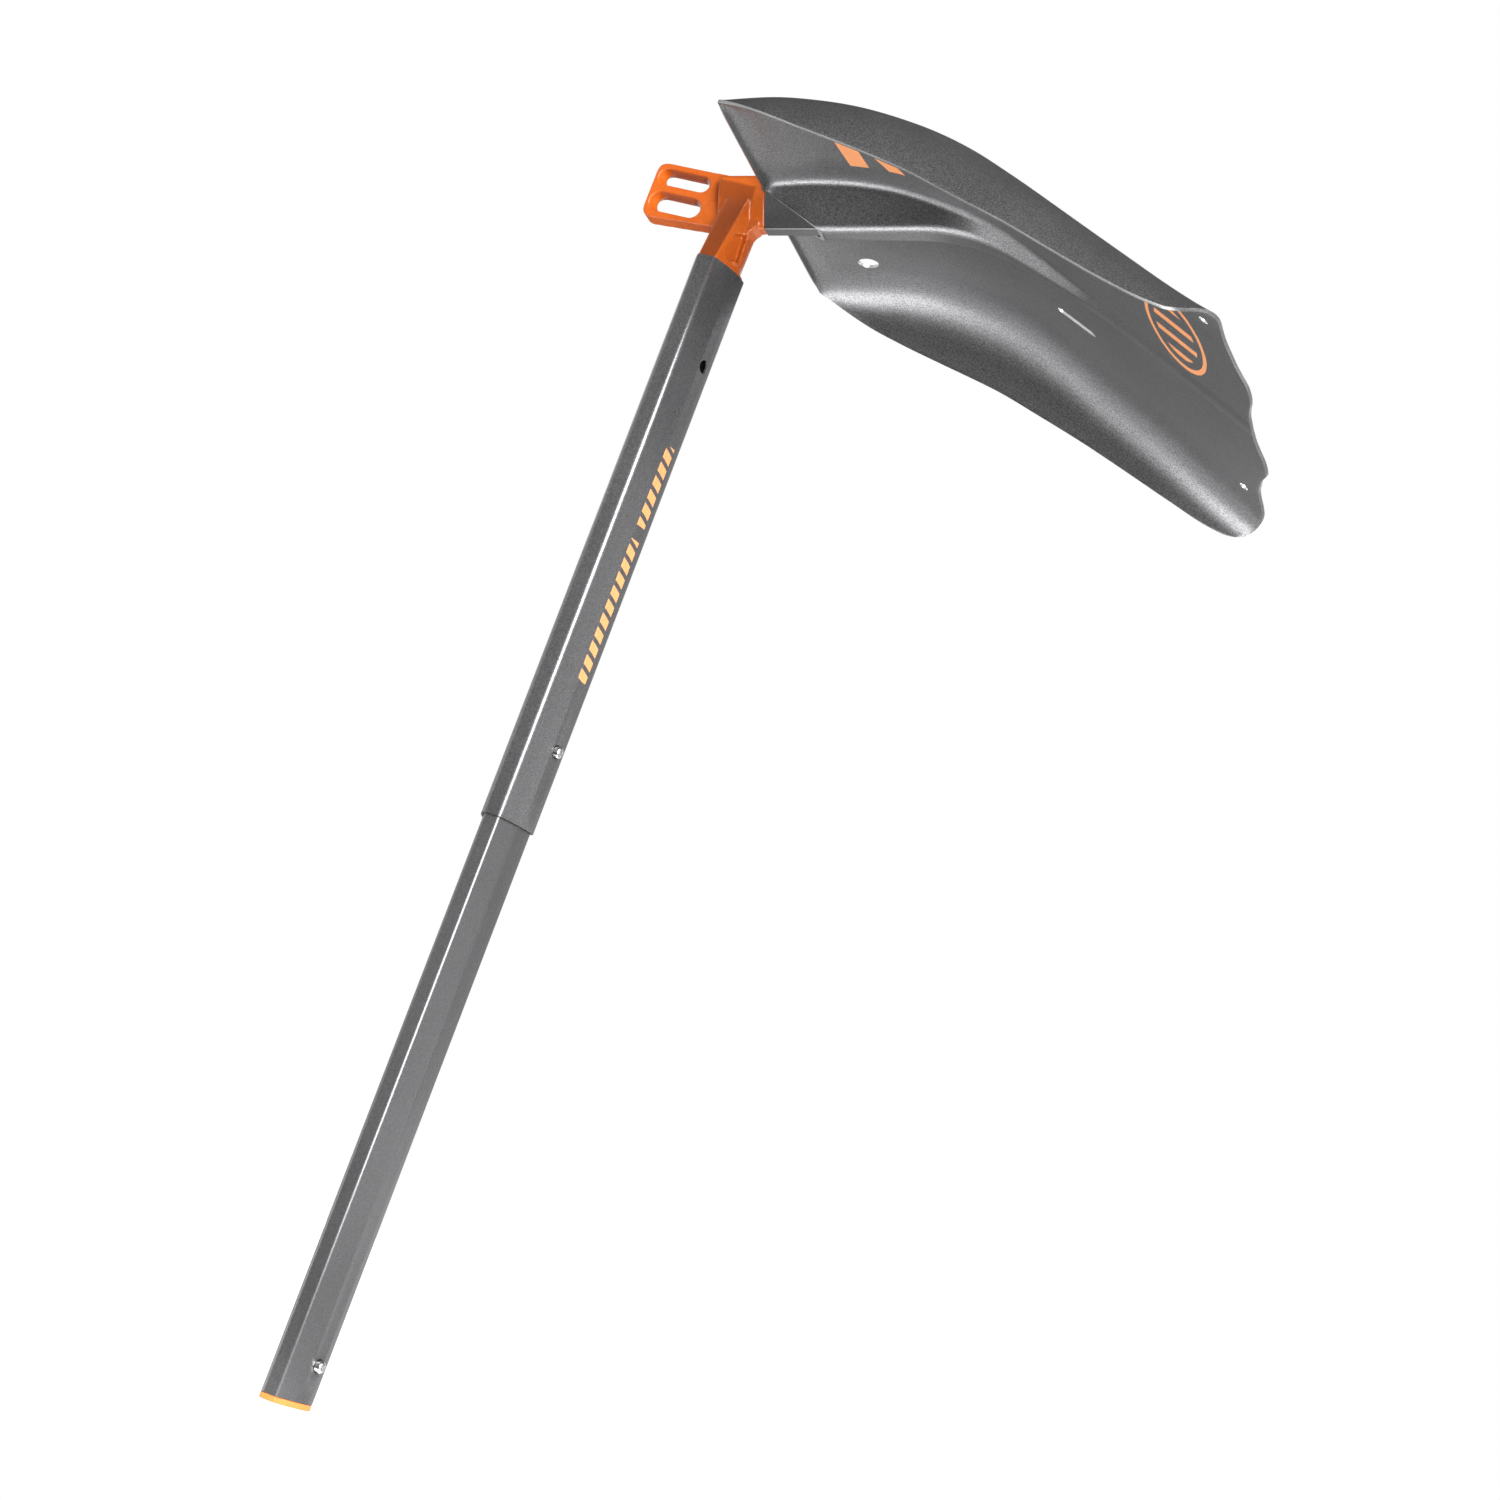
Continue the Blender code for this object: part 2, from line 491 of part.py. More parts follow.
def make_grip(home, helpers, plastic):
    """The T-grip casting: neck in the shaft, boss in the spigot, slotted plate and a web under the boss."""
    base = SHAFT_TOP
    low, high, left = base + PLATE_LOW, base + PLATE_HIGH, PLATE_LEFT
    corners = [(left, low), (4.0 * MM, low + 3.0 * MM), (4.0 * MM, high + 0.8 * MM), (left, high)]
    outline = rounded(corners, [PLATE_CORNER, 2 * MM, 1 * MM, PLATE_CORNER], 5)
    slots = [
        slot_outline(SLOT_LEFT, SLOT_RIGHT, base + centre, height)[::-1]
        for centre, height in zip(SLOT_CENTRES, SLOT_HEIGHTS)
    ]
    half = PLATE_HALF_THICK
    grip = prism("grip_casting", [outline] + slots, -half, half, home, plastic, plane_xz(0.0))
    bevel = grip.modifiers.new("edges", "BEVEL")
    bevel.width = 1.3 * MM
    bevel.segments = 2
    bevel.limit_method = "ANGLE"
    bevel.angle_limit = math.radians(50)
    top = SPIGOT_AXIS_Z + 3.0 * MM
    neck = prism("grip_neck", (shaft_section(0.0, NECK_HALF, NECK_RADII),), base + GAP, top, helpers)
    lean = [(-18.0, NECK_FRONT[0][1])] + list(NECK_FRONT) + [(-18.0, NECK_FRONT[1][1])]
    lean_outline = [(y * MM, base + z * MM) for y, z in lean]
    front = prism("grip_neck_front", (lean_outline,), -12 * MM, 12 * MM, helpers, None, plane_yz())
    for piece in (neck, front):
        hide_helper(piece)
    cut(neck, front)
    stub = prism("grip_neck_stub", (shaft_section(TUBE_WALL + 0.15 * MM),), base - NECK_DEPTH, base + 2 * MM, helpers)
    frame = spigot_frame()
    boss = prism(
        "grip_boss", (shaft_section(TUBE_STEP + 0.15 * MM),), -9.0 * MM, SPIGOT_START, helpers, None, frame
    )
    plug = prism(
        "grip_boss_stub", (shaft_section(TUBE_STEP + TUBE_WALL + 0.15 * MM),), SPIGOT_START - 2 * MM,
        SPIGOT_START + SPIGOT_PLUG_DEPTH, helpers, None, frame,
    )
    web_line = [
        (-4.0, 12.0), (10.4, 3.0), (11.1, 5.0), (11.2, 9.0), (11.2, 14.6), (11.5, 19.0), (12.8, 22.4),
        (14.8, 24.6), (14.8, 30.0), (-4.0, 30.0),
    ]
    web_outline = [(x * MM, base + z * MM) for x, z in web_line]
    web = prism("grip_web", (web_outline,), -5.6 * MM, 5.6 * MM, helpers, None, plane_xz(0.0))
    for piece in (stub, boss, plug, web):
        hide_helper(piece)
    for piece in (neck, stub, boss, plug, web):
        cut(grip, piece, "UNION")
    pocket_line = [(-2.8, 3.8), (5.2, 6.0), (3.6, 19.4), (-3.6, 15.5)]
    pocket_outline = rounded([(h * MM, z * MM) for h, z in pocket_line], [1.5 * MM] * 4, 3)
    side = pointing((8.8 * MM, -6.0 * MM, base), (0.91, -0.41, 0.0))
    pocket = prism("grip_pocket", (pocket_outline,), -3.5 * MM, 8.0 * MM, helpers, None, side)
    hide_helper(pocket)
    cut(grip, pocket)
    for sign, name in ((-1, "left"), (1, "right")):
        place = (sign * 5.0 * MM, 12.0 * MM, SHAFT_TOP - 9.0 * MM)
        cut(grip, drill("neck_bore_" + name, 1.9 * MM, 14 * MM, place, (0, 1, 0), helpers, 16))
        seat = frame @ Vector((sign * 4.6 * MM, 10.6 * MM, SPIGOT_START + 8.0 * MM))
        back = frame.to_3x3() @ Vector((0.0, 1.0, 0.0))
        cut(grip, drill("boss_bore_" + name, 1.9 * MM, 14 * MM, seat, back, helpers, 16))


def between(start, end, count):
    """Evenly spaced points strictly between two others."""
    return [start + (end - start) * (k + 1) / (count + 1) for k in range(count)]


def blade_section(x):
    """Half of the blade's cross-section at x: crest, flank, floor and side wall, as (y, z) in mm."""
    floor, crest = line_at(FLOOR_LINE, x), line_at(CREST_LINE, x)
    crest = min(crest, floor - 0.2)
    edge = (line_at(EDGE_HALF_WIDTH, x), min(line_at(EDGE_LINE, x), floor - 0.02))
    inner = rounded(
        ((0.0, crest), (line_at(CREST_HALF_WIDTH, x), crest), (line_at(FOOT_HALF_WIDTH, x), floor),
         (line_at(KNEE_START, x), floor)),
        (0, line_at(CREST_RADIUS, x), line_at(FOOT_RADIUS, x), 0), ARC_STEPS, closed=False,
    )
    start, bend = inner[-1], np.array((line_at(WALL_KNEE, x), floor))
    wall = []
    for k in range(1, KNEE_STEPS + 1):
        t = k / KNEE_STEPS
        wall.append((1 - t) ** 2 * start + 2 * t * (1 - t) * bend + t**2 * np.array(edge))
    return inner[:-1] + between(inner[-2], start, FLOOR_COLUMNS) + [start] + wall


def blade_grid():
    """Rows of points from the rear edge to the cutting edge, each from the centre line to the side."""
    tip_section = blade_section(TIP_X)
    ends = [line_at(TIP_OUTLINE, point[0]) for point in tip_section]
    rows = []
    for station in STATIONS:
        share = (station - REAR_X) / (TIP_X - REAR_X)
        row = []
        for column, end in enumerate(ends):
            x = REAR_X + share * (end - REAR_X)
            y, z = blade_section(x)[column]
            row.append((x * MM, y * MM, SHAFT_TOP + z * MM))
        rows.append(row)
    return rows


def add_on_spigot(name, mesh, home, metal):
    """A sliding piece whose origin is on the spigot's axis, where it leaves the shaft's axis."""
    seat = Matrix.Translation((0.0, 0.0, SPIGOT_AXIS_Z))
    mesh.transform(seat.inverted())
    return add_object(name, mesh, home, metal, seat)


def make_blade(home, helpers, metal):
    """The pressed blade: a loft from the flat rear lip through the dished middle to the scalloped edge."""
    rows = blade_grid()
    width = len(rows[0])
    verts, faces = [], []
    for row in rows:
        verts += [(x, -y, z) for x, y, z in reversed(row)] + row[1:]
    across = 2 * width - 1
    for i in range(len(rows) - 1):
        for j in range(across - 1):
            a, b = i * across + j, (i + 1) * across + j
            faces.append((a, a + 1, b + 1, b))
    mesh = bpy.data.meshes.new("blade")
    mesh.from_pydata(verts, [], faces)
    mesh.shade_smooth()
    blade = add_on_spigot("blade", mesh, home, metal)
    shell = blade.modifiers.new("sheet", "SOLIDIFY")
    shell.thickness = SHEET
    shell.offset = -1.0
    shell.use_even_offset = True
    base = SHAFT_TOP
    mouth_line = [
        (MOUTH_FOOT[0] - 6, 10.0), (MOUTH_CREST[0], 10.0), MOUTH_CREST,
        MOUTH_FOOT, (MOUTH_FOOT[0] - 6, MOUTH_FOOT[1] + 2),
    ]
    mouth_outline = [(x * MM, base + z * MM) for x, z in mouth_line]
    mouth = prism("mouth_cutter", (mouth_outline,), -14.8 * MM, 14.8 * MM, helpers, None, plane_xz(0.0))
    hide_helper(mouth)
    cut(blade, mouth)
    x, y, radius = ANCHOR_HOLE
    place = (x * MM, y * MM, base + line_at(FLOOR_LINE, x) * MM)
    cut(blade, drill("anchor_drill", radius * MM, 20 * MM, place, (0, 0, 1), helpers, 28))
    for sign, name in ((-1, "near"), (1, "far")):
        x, y, radius = CORNER_HOLE
        place = (x * MM, sign * y * MM, base - 11.8 * MM)
        cut(blade, drill("corner_drill_" + name, radius * MM, 24 * MM, place, (0.4, 0, 1), helpers, 20))
        x, y, length, height = SIDE_SLOT
        left, right = (x - length / 2) * MM, (x + length / 2) * MM
        outline = slot_outline(left, right, sign * y * MM, height * MM)
        slot = prism("slot_cutter_" + name, (outline,), base + 10 * MM, base + 60 * MM, helpers)
        hide_helper(slot)
        cut(blade, slot)
    frame = spigot_frame()
    seat = frame @ Vector((13.0 * MM, BUTTON_Y, SPIGOT_BUTTON_S))
    out = frame.to_3x3() @ Vector((1.0, 0.0, 0.0))
    cut(blade, drill("blade_lock_hole", BUTTON_HOLE_R, 12 * MM, seat, out, helpers))
    return blade


def make_strap(home, metal):
    """The hat-section strap on the blade's back that closes the socket over the shaft."""
    verts, faces = [], []
    lift = (SHEET + GAP) / MM
    count = 0
    for x in STRAP_STATIONS:
        axis = (SPIGOT_AXIS_Z - SHAFT_TOP) / MM + math.tan(SPIGOT_TILT) * x
        floor = line_at(FLOOR_LINE, x) + lift + 0.1
        top = axis + 12.75 / math.cos(SPIGOT_TILT)
        half = ((0.0, top), (9.6, top), (12.0, top - 2.6), (12.3, floor + 0.2), (14.6, floor), (STRAP_FLANGE, floor))
        half = rounded(half, (0, 3.0, 3.0, 0.8, 1.5, 0), 2, closed=False)
        line = [(-y, z) for y, z in reversed(half)] + [(y, z) for y, z in half[1:]]
        verts += [(x * MM, y * MM, SHAFT_TOP + z * MM) for y, z in line]
        count = len(line)
    for i in range(len(STRAP_STATIONS) - 1):
        for j in range(count - 1):
            a, b = i * count + j, (i + 1) * count + j
            faces.append((a, a + 1, b + 1, b))
    mesh = bpy.data.meshes.new("socket_strap")
    mesh.from_pydata(verts, [], faces)
    mesh.shade_smooth()
    strap = add_on_spigot("socket_strap", mesh, home, metal)
    shell = strap.modifiers.new("sheet", "SOLIDIFY")
    shell.thickness = STRAP_THICK
    shell.offset = -1.0
    shell.use_even_offset = True
    return strap


def build():
    clear_scene()
    home = make_collection("avalanche_shovel")
    helpers = make_collection("cutters")
    shaft_metal = make_material("shaft_anodised", DARK_ALU, 0.34, 0.85)
    blade_metal = make_material("blade_anodised", BLADE_ALU, 0.40, 0.85)
    grip_orange = make_material("grip_orange", ORANGE, 0.30, 0.0)
    plug_orange = make_material("plug_orange", PALE_ORANGE, 0.45, 0.0)
    steel = make_material("button_steel", STEEL, 0.22, 1.0)
    black = make_material("guide_black", BLACK_PLASTIC, 0.5, 0.0)
    make_tubes(home, helpers, shaft_metal)
    make_end_plug(home, helpers, plug_orange)
    make_tube_guide(home, helpers, black)
    make_shaft_buttons(home, steel)
    make_grip(home, helpers, grip_orange)
    make_spigot(home, helpers, shaft_metal, steel, black)
    make_rivets(home, steel)
    make_blade(home, helpers, blade_metal)
    make_strap(home, blade_metal)


build()
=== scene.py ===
"""The look of the avalanche shovel set up as a hoe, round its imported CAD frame. Metres, +Z up the shaft."""

import json
import math

import bmesh
import bpy
import numpy as np
from mathutils import Matrix, Vector

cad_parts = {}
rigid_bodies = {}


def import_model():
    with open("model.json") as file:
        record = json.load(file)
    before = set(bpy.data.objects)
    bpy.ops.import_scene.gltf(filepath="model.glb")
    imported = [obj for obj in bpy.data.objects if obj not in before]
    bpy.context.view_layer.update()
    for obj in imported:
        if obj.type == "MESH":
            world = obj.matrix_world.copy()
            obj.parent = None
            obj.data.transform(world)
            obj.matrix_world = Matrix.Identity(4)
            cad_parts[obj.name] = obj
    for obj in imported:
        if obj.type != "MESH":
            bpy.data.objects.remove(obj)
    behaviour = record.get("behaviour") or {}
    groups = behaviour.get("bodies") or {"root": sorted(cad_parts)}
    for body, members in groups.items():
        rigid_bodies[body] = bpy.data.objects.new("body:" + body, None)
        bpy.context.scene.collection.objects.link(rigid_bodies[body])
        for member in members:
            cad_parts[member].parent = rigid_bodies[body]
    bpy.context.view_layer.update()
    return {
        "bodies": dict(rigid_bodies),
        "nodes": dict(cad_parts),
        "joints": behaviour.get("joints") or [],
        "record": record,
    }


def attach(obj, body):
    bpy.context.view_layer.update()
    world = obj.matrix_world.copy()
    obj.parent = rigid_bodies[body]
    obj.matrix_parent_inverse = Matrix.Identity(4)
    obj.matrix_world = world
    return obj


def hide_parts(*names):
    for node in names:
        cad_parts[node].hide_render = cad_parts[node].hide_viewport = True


MM = 0.001

# The viewpoint: azimuth 0 looks along +Y, 90 along -X; elevation looks up; roll lifts the right side.
CAMERA_PLACE = (0.5290, -1.1795, 0.1154)
CAMERA_AZIMUTH = 19.80
CAMERA_ELEVATION = 10.70
CAMERA_ROLL = 20.22
CAMERA_LENS = 65.58
SENSOR = 36.0
CAMERA_CLIP = (0.01, 60.0)

# The studio, in metres. Cards and lights stand in a direction from their target, at a distance.
FLOOR_Z = -0.30
FLOOR_HALF_SIDE = 14.0
FLOOR_PAINT = (0.62, 0.62, 0.62, 1.0)
FLOOR_ROUGHNESS = 0.95
FLOOR_GLOW = 0.62
WHITE = (1.0, 1.0, 1.0, 1.0)
DOWN = (0.0, 0.0, -1.0)
HEART = (0.06, 0.0, 0.50)
BLADE_HEART = (0.15, 0.06, 0.60)
# Each card: name, direction, distance, size, brightness, target.
CARDS = (
    ("overhead_card", (-0.1, 0.1, 1.0), 1.6, (3.6, 3.6), 0.08, HEART),
    ("front_card", (-0.45, -1.0, 0.12), 2.3, (2.4, 2.9), 0.34, HEART),
    ("front_floor_card", DOWN, 0.28, (2.0, 2.5), 0.05, (-0.55, -1.65, 0.0)),
    ("right_floor_card", DOWN, 0.28, (1.7, 2.2), 0.45, (1.35, 0.10, 0.0)),
    ("right_card", (1.0, 0.02, 0.25), 2.2, (1.5, 2.2), 0.60, HEART),
    ("back_right_card", (0.62, 0.78, 0.30), 2.3, (1.9, 2.2), 0.50, HEART),
    ("back_card", (-0.47, 0.89, -0.03), 2.0, (1.5, 0.75), 0.26, BLADE_HEART),
    ("back_low_card", (-0.54, 0.72, -0.38), 1.3, (0.95, 0.50), 0.14, BLADE_HEART),
    ("nadir_card", (0.0, -0.06, -1.0), 0.83, (0.50, 0.42), 7.0, (0.02, 0.08, 0.60)),
    ("underlight_card", (-0.58, -0.12, -0.80), 0.92, (0.60, 0.60), 2.1, (0.05, 0.06, 0.60)),
)
# The one lamp: name, direction, distance, size, watts, target.
KEY_BOX = ("key_box", (0.62, -0.76, 0.20), 2.0, (1.15, 2.8), 130.0, (0.0, 0.0, 0.44))

# Shaft, in mm; its section is given as the right half, from the front round to the back.
SHAFT_TOP = 580.1
SHAFT_JOINT = 284.8
TUBE_WALL = 1.1
TUBE_STEP = 1.4
SECTION_HALF = ((4.6, -16.4), (9.1, -7.7), (12.5, 1.5), (12.9, 9.8), (9.7, 13.2))
SECTION_RADII = (3.6, 60.0, 24.0, 4.0, 4.0)
LOWER_TUBE_TOP = 346.0
PLUG_FLANGE = 2.6
BUTTON_Y = 1.5
TELESCOPE_Z = 325.0
UPPER_HOLE_Z = 529.9
BLADE_LOCK_Z = 20.7
BUTTON_HOLE_R = 3.35
STUD_R = 2.95
STUD_PROUD = 2.3
LOWER_SIDE = 11.45
SPIGOT_TILT = math.radians(12.9)
SPIGOT_AXIS_Z = SHAFT_TOP + 36.1
SPIGOT_START = 15.2
SPIGOT_BUTTON_S = 58.0
SPIGOT_PLUG_DEPTH = 16.0

# Grip casting, in mm above the shaft's top or from its axis.
CASTING_GAP = 0.15
NECK_DEPTH = 17.0
PLATE_LEFT = -47.3
PLATE_LOW = 17.6
PLATE_HIGH = 47.6
PLATE_HALF_THICK = 5.0
PLATE_CORNER = 5.5
SLOT_LEFT = -45.2
SLOT_RIGHT = -17.4
SLOT_HEIGHTS = (10.6, 8.6)
SLOT_WAIST = 3.0
SLOT_CENTRES = (26.9, 40.4)
NECK_HALF = ((4.4, -15.7), (8.6, -7.3), (11.2, 0.5), (9.6, 9.4), (7.6, 12.4))
NECK_RADII = (1.5, 8.0, 8.0, 3.0, 3.0)
NECK_TOP_HALF = ((5.8, -8.9), (8.4, -3.4), (9.2, 1.8), (8.0, 9.4), (6.6, 12.4))
NECK_FOOT = 0.3
NECK_TOP = 44.0
NECK_LEAN = 2.6
BOSS_BACK = -9.0
WEB_HALF_THICK = 5.6
WEB_LINE = (
    (-4.0, 12.0), (10.4, 3.0), (11.1, 5.0), (11.2, 9.0), (11.2, 14.6), (11.5, 19.0), (12.8, 22.4),
    (14.8, 24.6), (14.8, 30.0), (-4.0, 30.0),
)
PLATE_ROUND = 1.9
POCKET_LINE = ((-2.6, 3.4), (5.3, 5.4), (3.9, 20.0), (-3.8, 16.6), (-5.8, 6.4))
POCKET_CORNER = 1.5
POCKET_DEPTH = 2.9
POCKET_PLACE = (8.8, -6.0)
POCKET_FACING = (0.91, -0.41, 0.0)
SKIN_VOXEL = 0.45
SKIN_RELAX_STEPS = 16

# Blade, in mm: distance from the shaft's axis, then height above the shaft's top or half width.
SHEET = 1.6
REAR_X = 15.8
TIP_X = 281.0
FLOOR_LINE = (
    (15.8, 40.2), (17.0, 42.6), (19.0, 44.3), (22.0, 45.6), (30.0, 48.0), (40.0, 50.5), (60.0, 54.0),
    (80.0, 55.3), (100.0, 54.1), (120.0, 51.2), (140.0, 46.0), (160.0, 38.2), (180.0, 29.5),
    (200.0, 20.5), (225.0, 9.0), (250.0, -3.0), (270.0, -12.5), (284.5, -19.8),
)
EDGE_LINE = (
    (15.8, 40.2), (30.0, 36.5), (42.0, 33.3), (64.0, 28.4), (87.0, 24.0), (100.0, 21.5), (123.0, 16.5),
    (145.0, 10.0), (173.0, 1.6), (198.0, -7.0), (224.0, -16.0), (248.0, -23.4), (262.0, -25.8),
    (284.5, -24.5),
)
EDGE_HALF_WIDTH = (
    (15.8, 100.6), (30.0, 108.8), (42.0, 113.6), (64.0, 117.2), (87.0, 119.4), (123.0, 121.0),
    (150.0, 122.5), (173.0, 124.6), (198.0, 126.2), (224.0, 128.8), (248.0, 132.6), (260.0, 134.0),
    (284.5, 134.0),
)
KNEE_START = (
    (15.8, 78.0), (42.0, 80.0), (87.0, 80.0), (200.0, 80.0), (250.0, 84.0), (284.5, 88.0),
)
WALL_KNEE = (
    (15.8, 94.0), (30.0, 101.0), (42.0, 105.5), (64.0, 108.5), (87.0, 110.5), (123.0, 112.0),
    (150.0, 113.0), (173.0, 115.0), (198.0, 116.5), (224.0, 119.0), (248.0, 122.5), (262.0, 124.0),
    (284.5, 124.0),
)
CREST_LINE = (
    (15.8, 22.1), (60.0, 32.2), (84.0, 37.7), (94.0, 39.9), (101.0, 41.3), (108.0, 42.2), (118.0, 42.5),
    (128.0, 41.9), (138.0, 39.9), (150.0, 36.5), (163.0, 32.3), (175.0, 28.4), (188.0, 24.2),
    (200.0, 19.4), (225.0, 8.2), (250.0, -3.6), (270.0, -13.0), (284.5, -20.2),
)
CREST_HALF_WIDTH = (
    (15.8, 7.2), (80.0, 7.2), (98.0, 7.2), (108.0, 7.0), (118.0, 6.4), (135.0, 5.2), (150.0, 4.0),
    (165.0, 3.0), (180.0, 2.4), (284.5, 2.0),
)
FOOT_HALF_WIDTH = (
    (15.8, 14.4), (80.0, 14.4), (96.0, 14.4), (108.0, 14.4), (127.0, 13.8), (144.0, 12.8),
    (163.0, 11.4), (180.0, 10.0), (230.0, 9.0), (284.5, 8.0),
)
TIP_OUTLINE = (
    (0.0, 280.4), (14.0, 280.4), (24.0, 281.6), (34.0, 283.3), (44.0, 283.8), (52.0, 283.2),
    (60.0, 280.8), (68.0, 278.6), (78.0, 276.8), (88.0, 275.2), (98.0, 274.8), (108.0, 275.4),
    (116.0, 275.4), (122.0, 274.2), (127.0, 272.0), (131.0, 268.2), (133.2, 263.0), (134.0, 257.0),
)
CREST_RADIUS = ((15.8, 7.0), (100.0, 7.0), (130.0, 7.5), (180.0, 9.0), (284.5, 12.0))
FOOT_RADIUS = ((15.8, 7.0), (110.0, 7.0), (180.0, 12.0), (284.5, 14.0))
ARC_STEPS = 12
FLOOR_COLUMNS = 28
KNEE_STEPS = 34
ROW_STEP = 2.4
CURL_END = 27.0
CURL_ROWS = 16
CURL_CROWDING = 1.7
LEAST_CREST_DROP = 0.2
LEAST_WALL_DROP = 0.02
MOUTH_FOOT = (14.0, 41.4)
MOUTH_CREST = (49.5, 28.7)
MOUTH_HALF_WIDTH = 14.8
MOUTH_LOW = 10.0
MOUTH_BACK = 6.0
ANCHOR_HOLE = (46.0, 75.0, 5.3)
CORNER_HOLE = (265.0, 96.5, 2.6)
CORNER_HOLE_Z = -11.8
SIDE_SLOT = (171.0, 45.5, 23.0, 5.0)
SLOT_CUT = (10.0, 60.0)
LOCK_HOLE_SIDE = 13.0

# Finishing, in mm and degrees.
BLADE_RIM = 0.45
TUBE_RIM = 0.35
SMOOTH_BELOW = math.radians(42)
WELD = 1e-6
HOLE_SIDES = 48
TURNED_SIDES = 64


# ---------------------------------------------------------------- camera, floor and light

def add_camera():
    azimuth, elevation, roll = (math.radians(a) for a in (CAMERA_AZIMUTH, CAMERA_ELEVATION, CAMERA_ROLL))
    level_reach = math.cos(elevation)
    forward = Vector((-math.sin(azimuth) * level_reach, math.cos(azimuth) * level_reach, math.sin(elevation)))
    level = forward.cross(Vector((0, 0, 1))).normalized()
    upright = level.cross(forward)
    right = level * math.cos(roll) + upright * math.sin(roll)
    upward = upright * math.cos(roll) - level * math.sin(roll)
    data = bpy.data.cameras.new("camera")
    data.sensor_width = SENSOR
    data.lens = CAMERA_LENS
    data.clip_start, data.clip_end = CAMERA_CLIP
    camera = bpy.data.objects.new("camera", data)
    bpy.context.scene.collection.objects.link(camera)
    turn = Matrix((right, upward, -forward)).transposed().to_4x4()
    camera.matrix_world = Matrix.Translation(Vector(CAMERA_PLACE)) @ turn
    bpy.context.scene.camera = camera


def facing(towards, distance, target):
    """A frame at that distance from the target whose Z points away from it."""
    direction = Vector(towards).normalized()
    turn = direction.to_track_quat("Z", "Y").to_matrix().to_4x4()
    return Matrix.Translation(Vector(target) + direction * distance) @ turn


def area_light(name, towards, distance, size, power, target):
    """A soft box that stands in the direction given and faces the target."""
    data = bpy.data.lights.new(name, "AREA")
    data.shape = "RECTANGLE"
    data.size, data.size_y = size
    data.energy = power
    light = bpy.data.objects.new(name, data)
    bpy.context.scene.collection.objects.link(light)
    light.matrix_world = facing(towards, distance, target)
    light.visible_camera = False


def studio_card(name, towards, distance, size, shade, target):
    """A plain card out of sight, which sets how bright the metal's mirror image is on that side."""
    mesh = bpy.data.meshes.new(name)
    w, h = size[0] / 2, size[1] / 2
    mesh.from_pydata([(-w, -h, 0), (w, -h, 0), (w, h, 0), (-w, h, 0)], [], [(0, 1, 2, 3)])
    card = bpy.data.objects.new(name, mesh)
    bpy.context.scene.collection.objects.link(card)
    card.matrix_world = facing(towards, distance, target)
    material = bpy.data.materials.new(name)
    material.use_nodes = True
    tree = material.node_tree
    tree.nodes.clear()
    out = tree.nodes.new("ShaderNodeOutputMaterial")
    glow = tree.nodes.new("ShaderNodeEmission")
    glow.inputs["Color"].default_value = WHITE
    glow.inputs["Strength"].default_value = shade
    tree.links.new(glow.outputs[0], out.inputs["Surface"])
    mesh.materials.append(material)
    card.visible_camera = False
    card.visible_shadow = False


def add_floor():
    mesh = bpy.data.meshes.new("floor")
    r = FLOOR_HALF_SIDE
    mesh.from_pydata([(-r, -r, 0), (r, -r, 0), (r, r, 0), (-r, r, 0)], [], [(0, 1, 2, 3)])
    floor = bpy.data.objects.new("floor", mesh)
    bpy.context.scene.collection.objects.link(floor)
    floor.location = (0, 0, FLOOR_Z)
    pale = bpy.data.materials.new("floor_pale")
    pale.use_nodes = True
    shader = pale.node_tree.nodes["Principled BSDF"]
    shader.inputs["Base Color"].default_value = FLOOR_PAINT
    shader.inputs["Roughness"].default_value = FLOOR_ROUGHNESS
    shader.inputs["Specular IOR Level"].default_value = 0.0
    shader.inputs["Emission Color"].default_value = WHITE
    shader.inputs["Emission Strength"].default_value = FLOOR_GLOW
    mesh.materials.append(pale)


def add_studio():
    scene = bpy.context.scene
    scene.view_settings.view_transform = "Standard"
    scene.view_settings.look = "None"
    world = bpy.data.worlds.new("studio")
    world.use_nodes = True
    world.node_tree.nodes["Background"].inputs["Color"].default_value = WHITE
    world.node_tree.nodes["Background"].inputs["Strength"].default_value = 1.0
    scene.world = world
    add_floor()
    for card in CARDS:
        studio_card(*card)
    area_light(*KEY_BOX)


# ---------------------------------------------------------------- node helpers

def new_material(name, roughness, metallic):
    material = bpy.data.materials.new(name)
    material.use_nodes = True
    tree = material.node_tree
    shader = tree.nodes["Principled BSDF"]
    shader.inputs["Roughness"].default_value = roughness
    shader.inputs["Metallic"].default_value = metallic
    return material, tree, shader


def feed(tree, target, value):
    if isinstance(value, (int, float)):
        target.default_value = value
    elif isinstance(value, tuple):
        target.default_value = value
    else:
        tree.links.new(value, target)


def math_node(tree, kind, a, b=0.0, clamp=False):
    node = tree.nodes.new("ShaderNodeMath")
    node.operation = kind
    node.use_clamp = clamp
    feed(tree, node.inputs[0], a)
    feed(tree, node.inputs[1], b)
    return node.outputs[0]


def mix_colour(tree, share, low, high):
    node = tree.nodes.new("ShaderNodeMix")
    node.data_type = "RGBA"
    feed(tree, node.inputs["Factor"], share)
    feed(tree, node.inputs[6], low)
    feed(tree, node.inputs[7], high)
    return node.outputs[2]


def ramp(tree, value, low, high):
    """0 at low, 1 at high, straight between."""
    node = tree.nodes.new("ShaderNodeMapRange")
    feed(tree, node.inputs["Value"], value)
    node.inputs["From Min"].default_value = low
    node.inputs["From Max"].default_value = high
    return node.outputs["Result"]


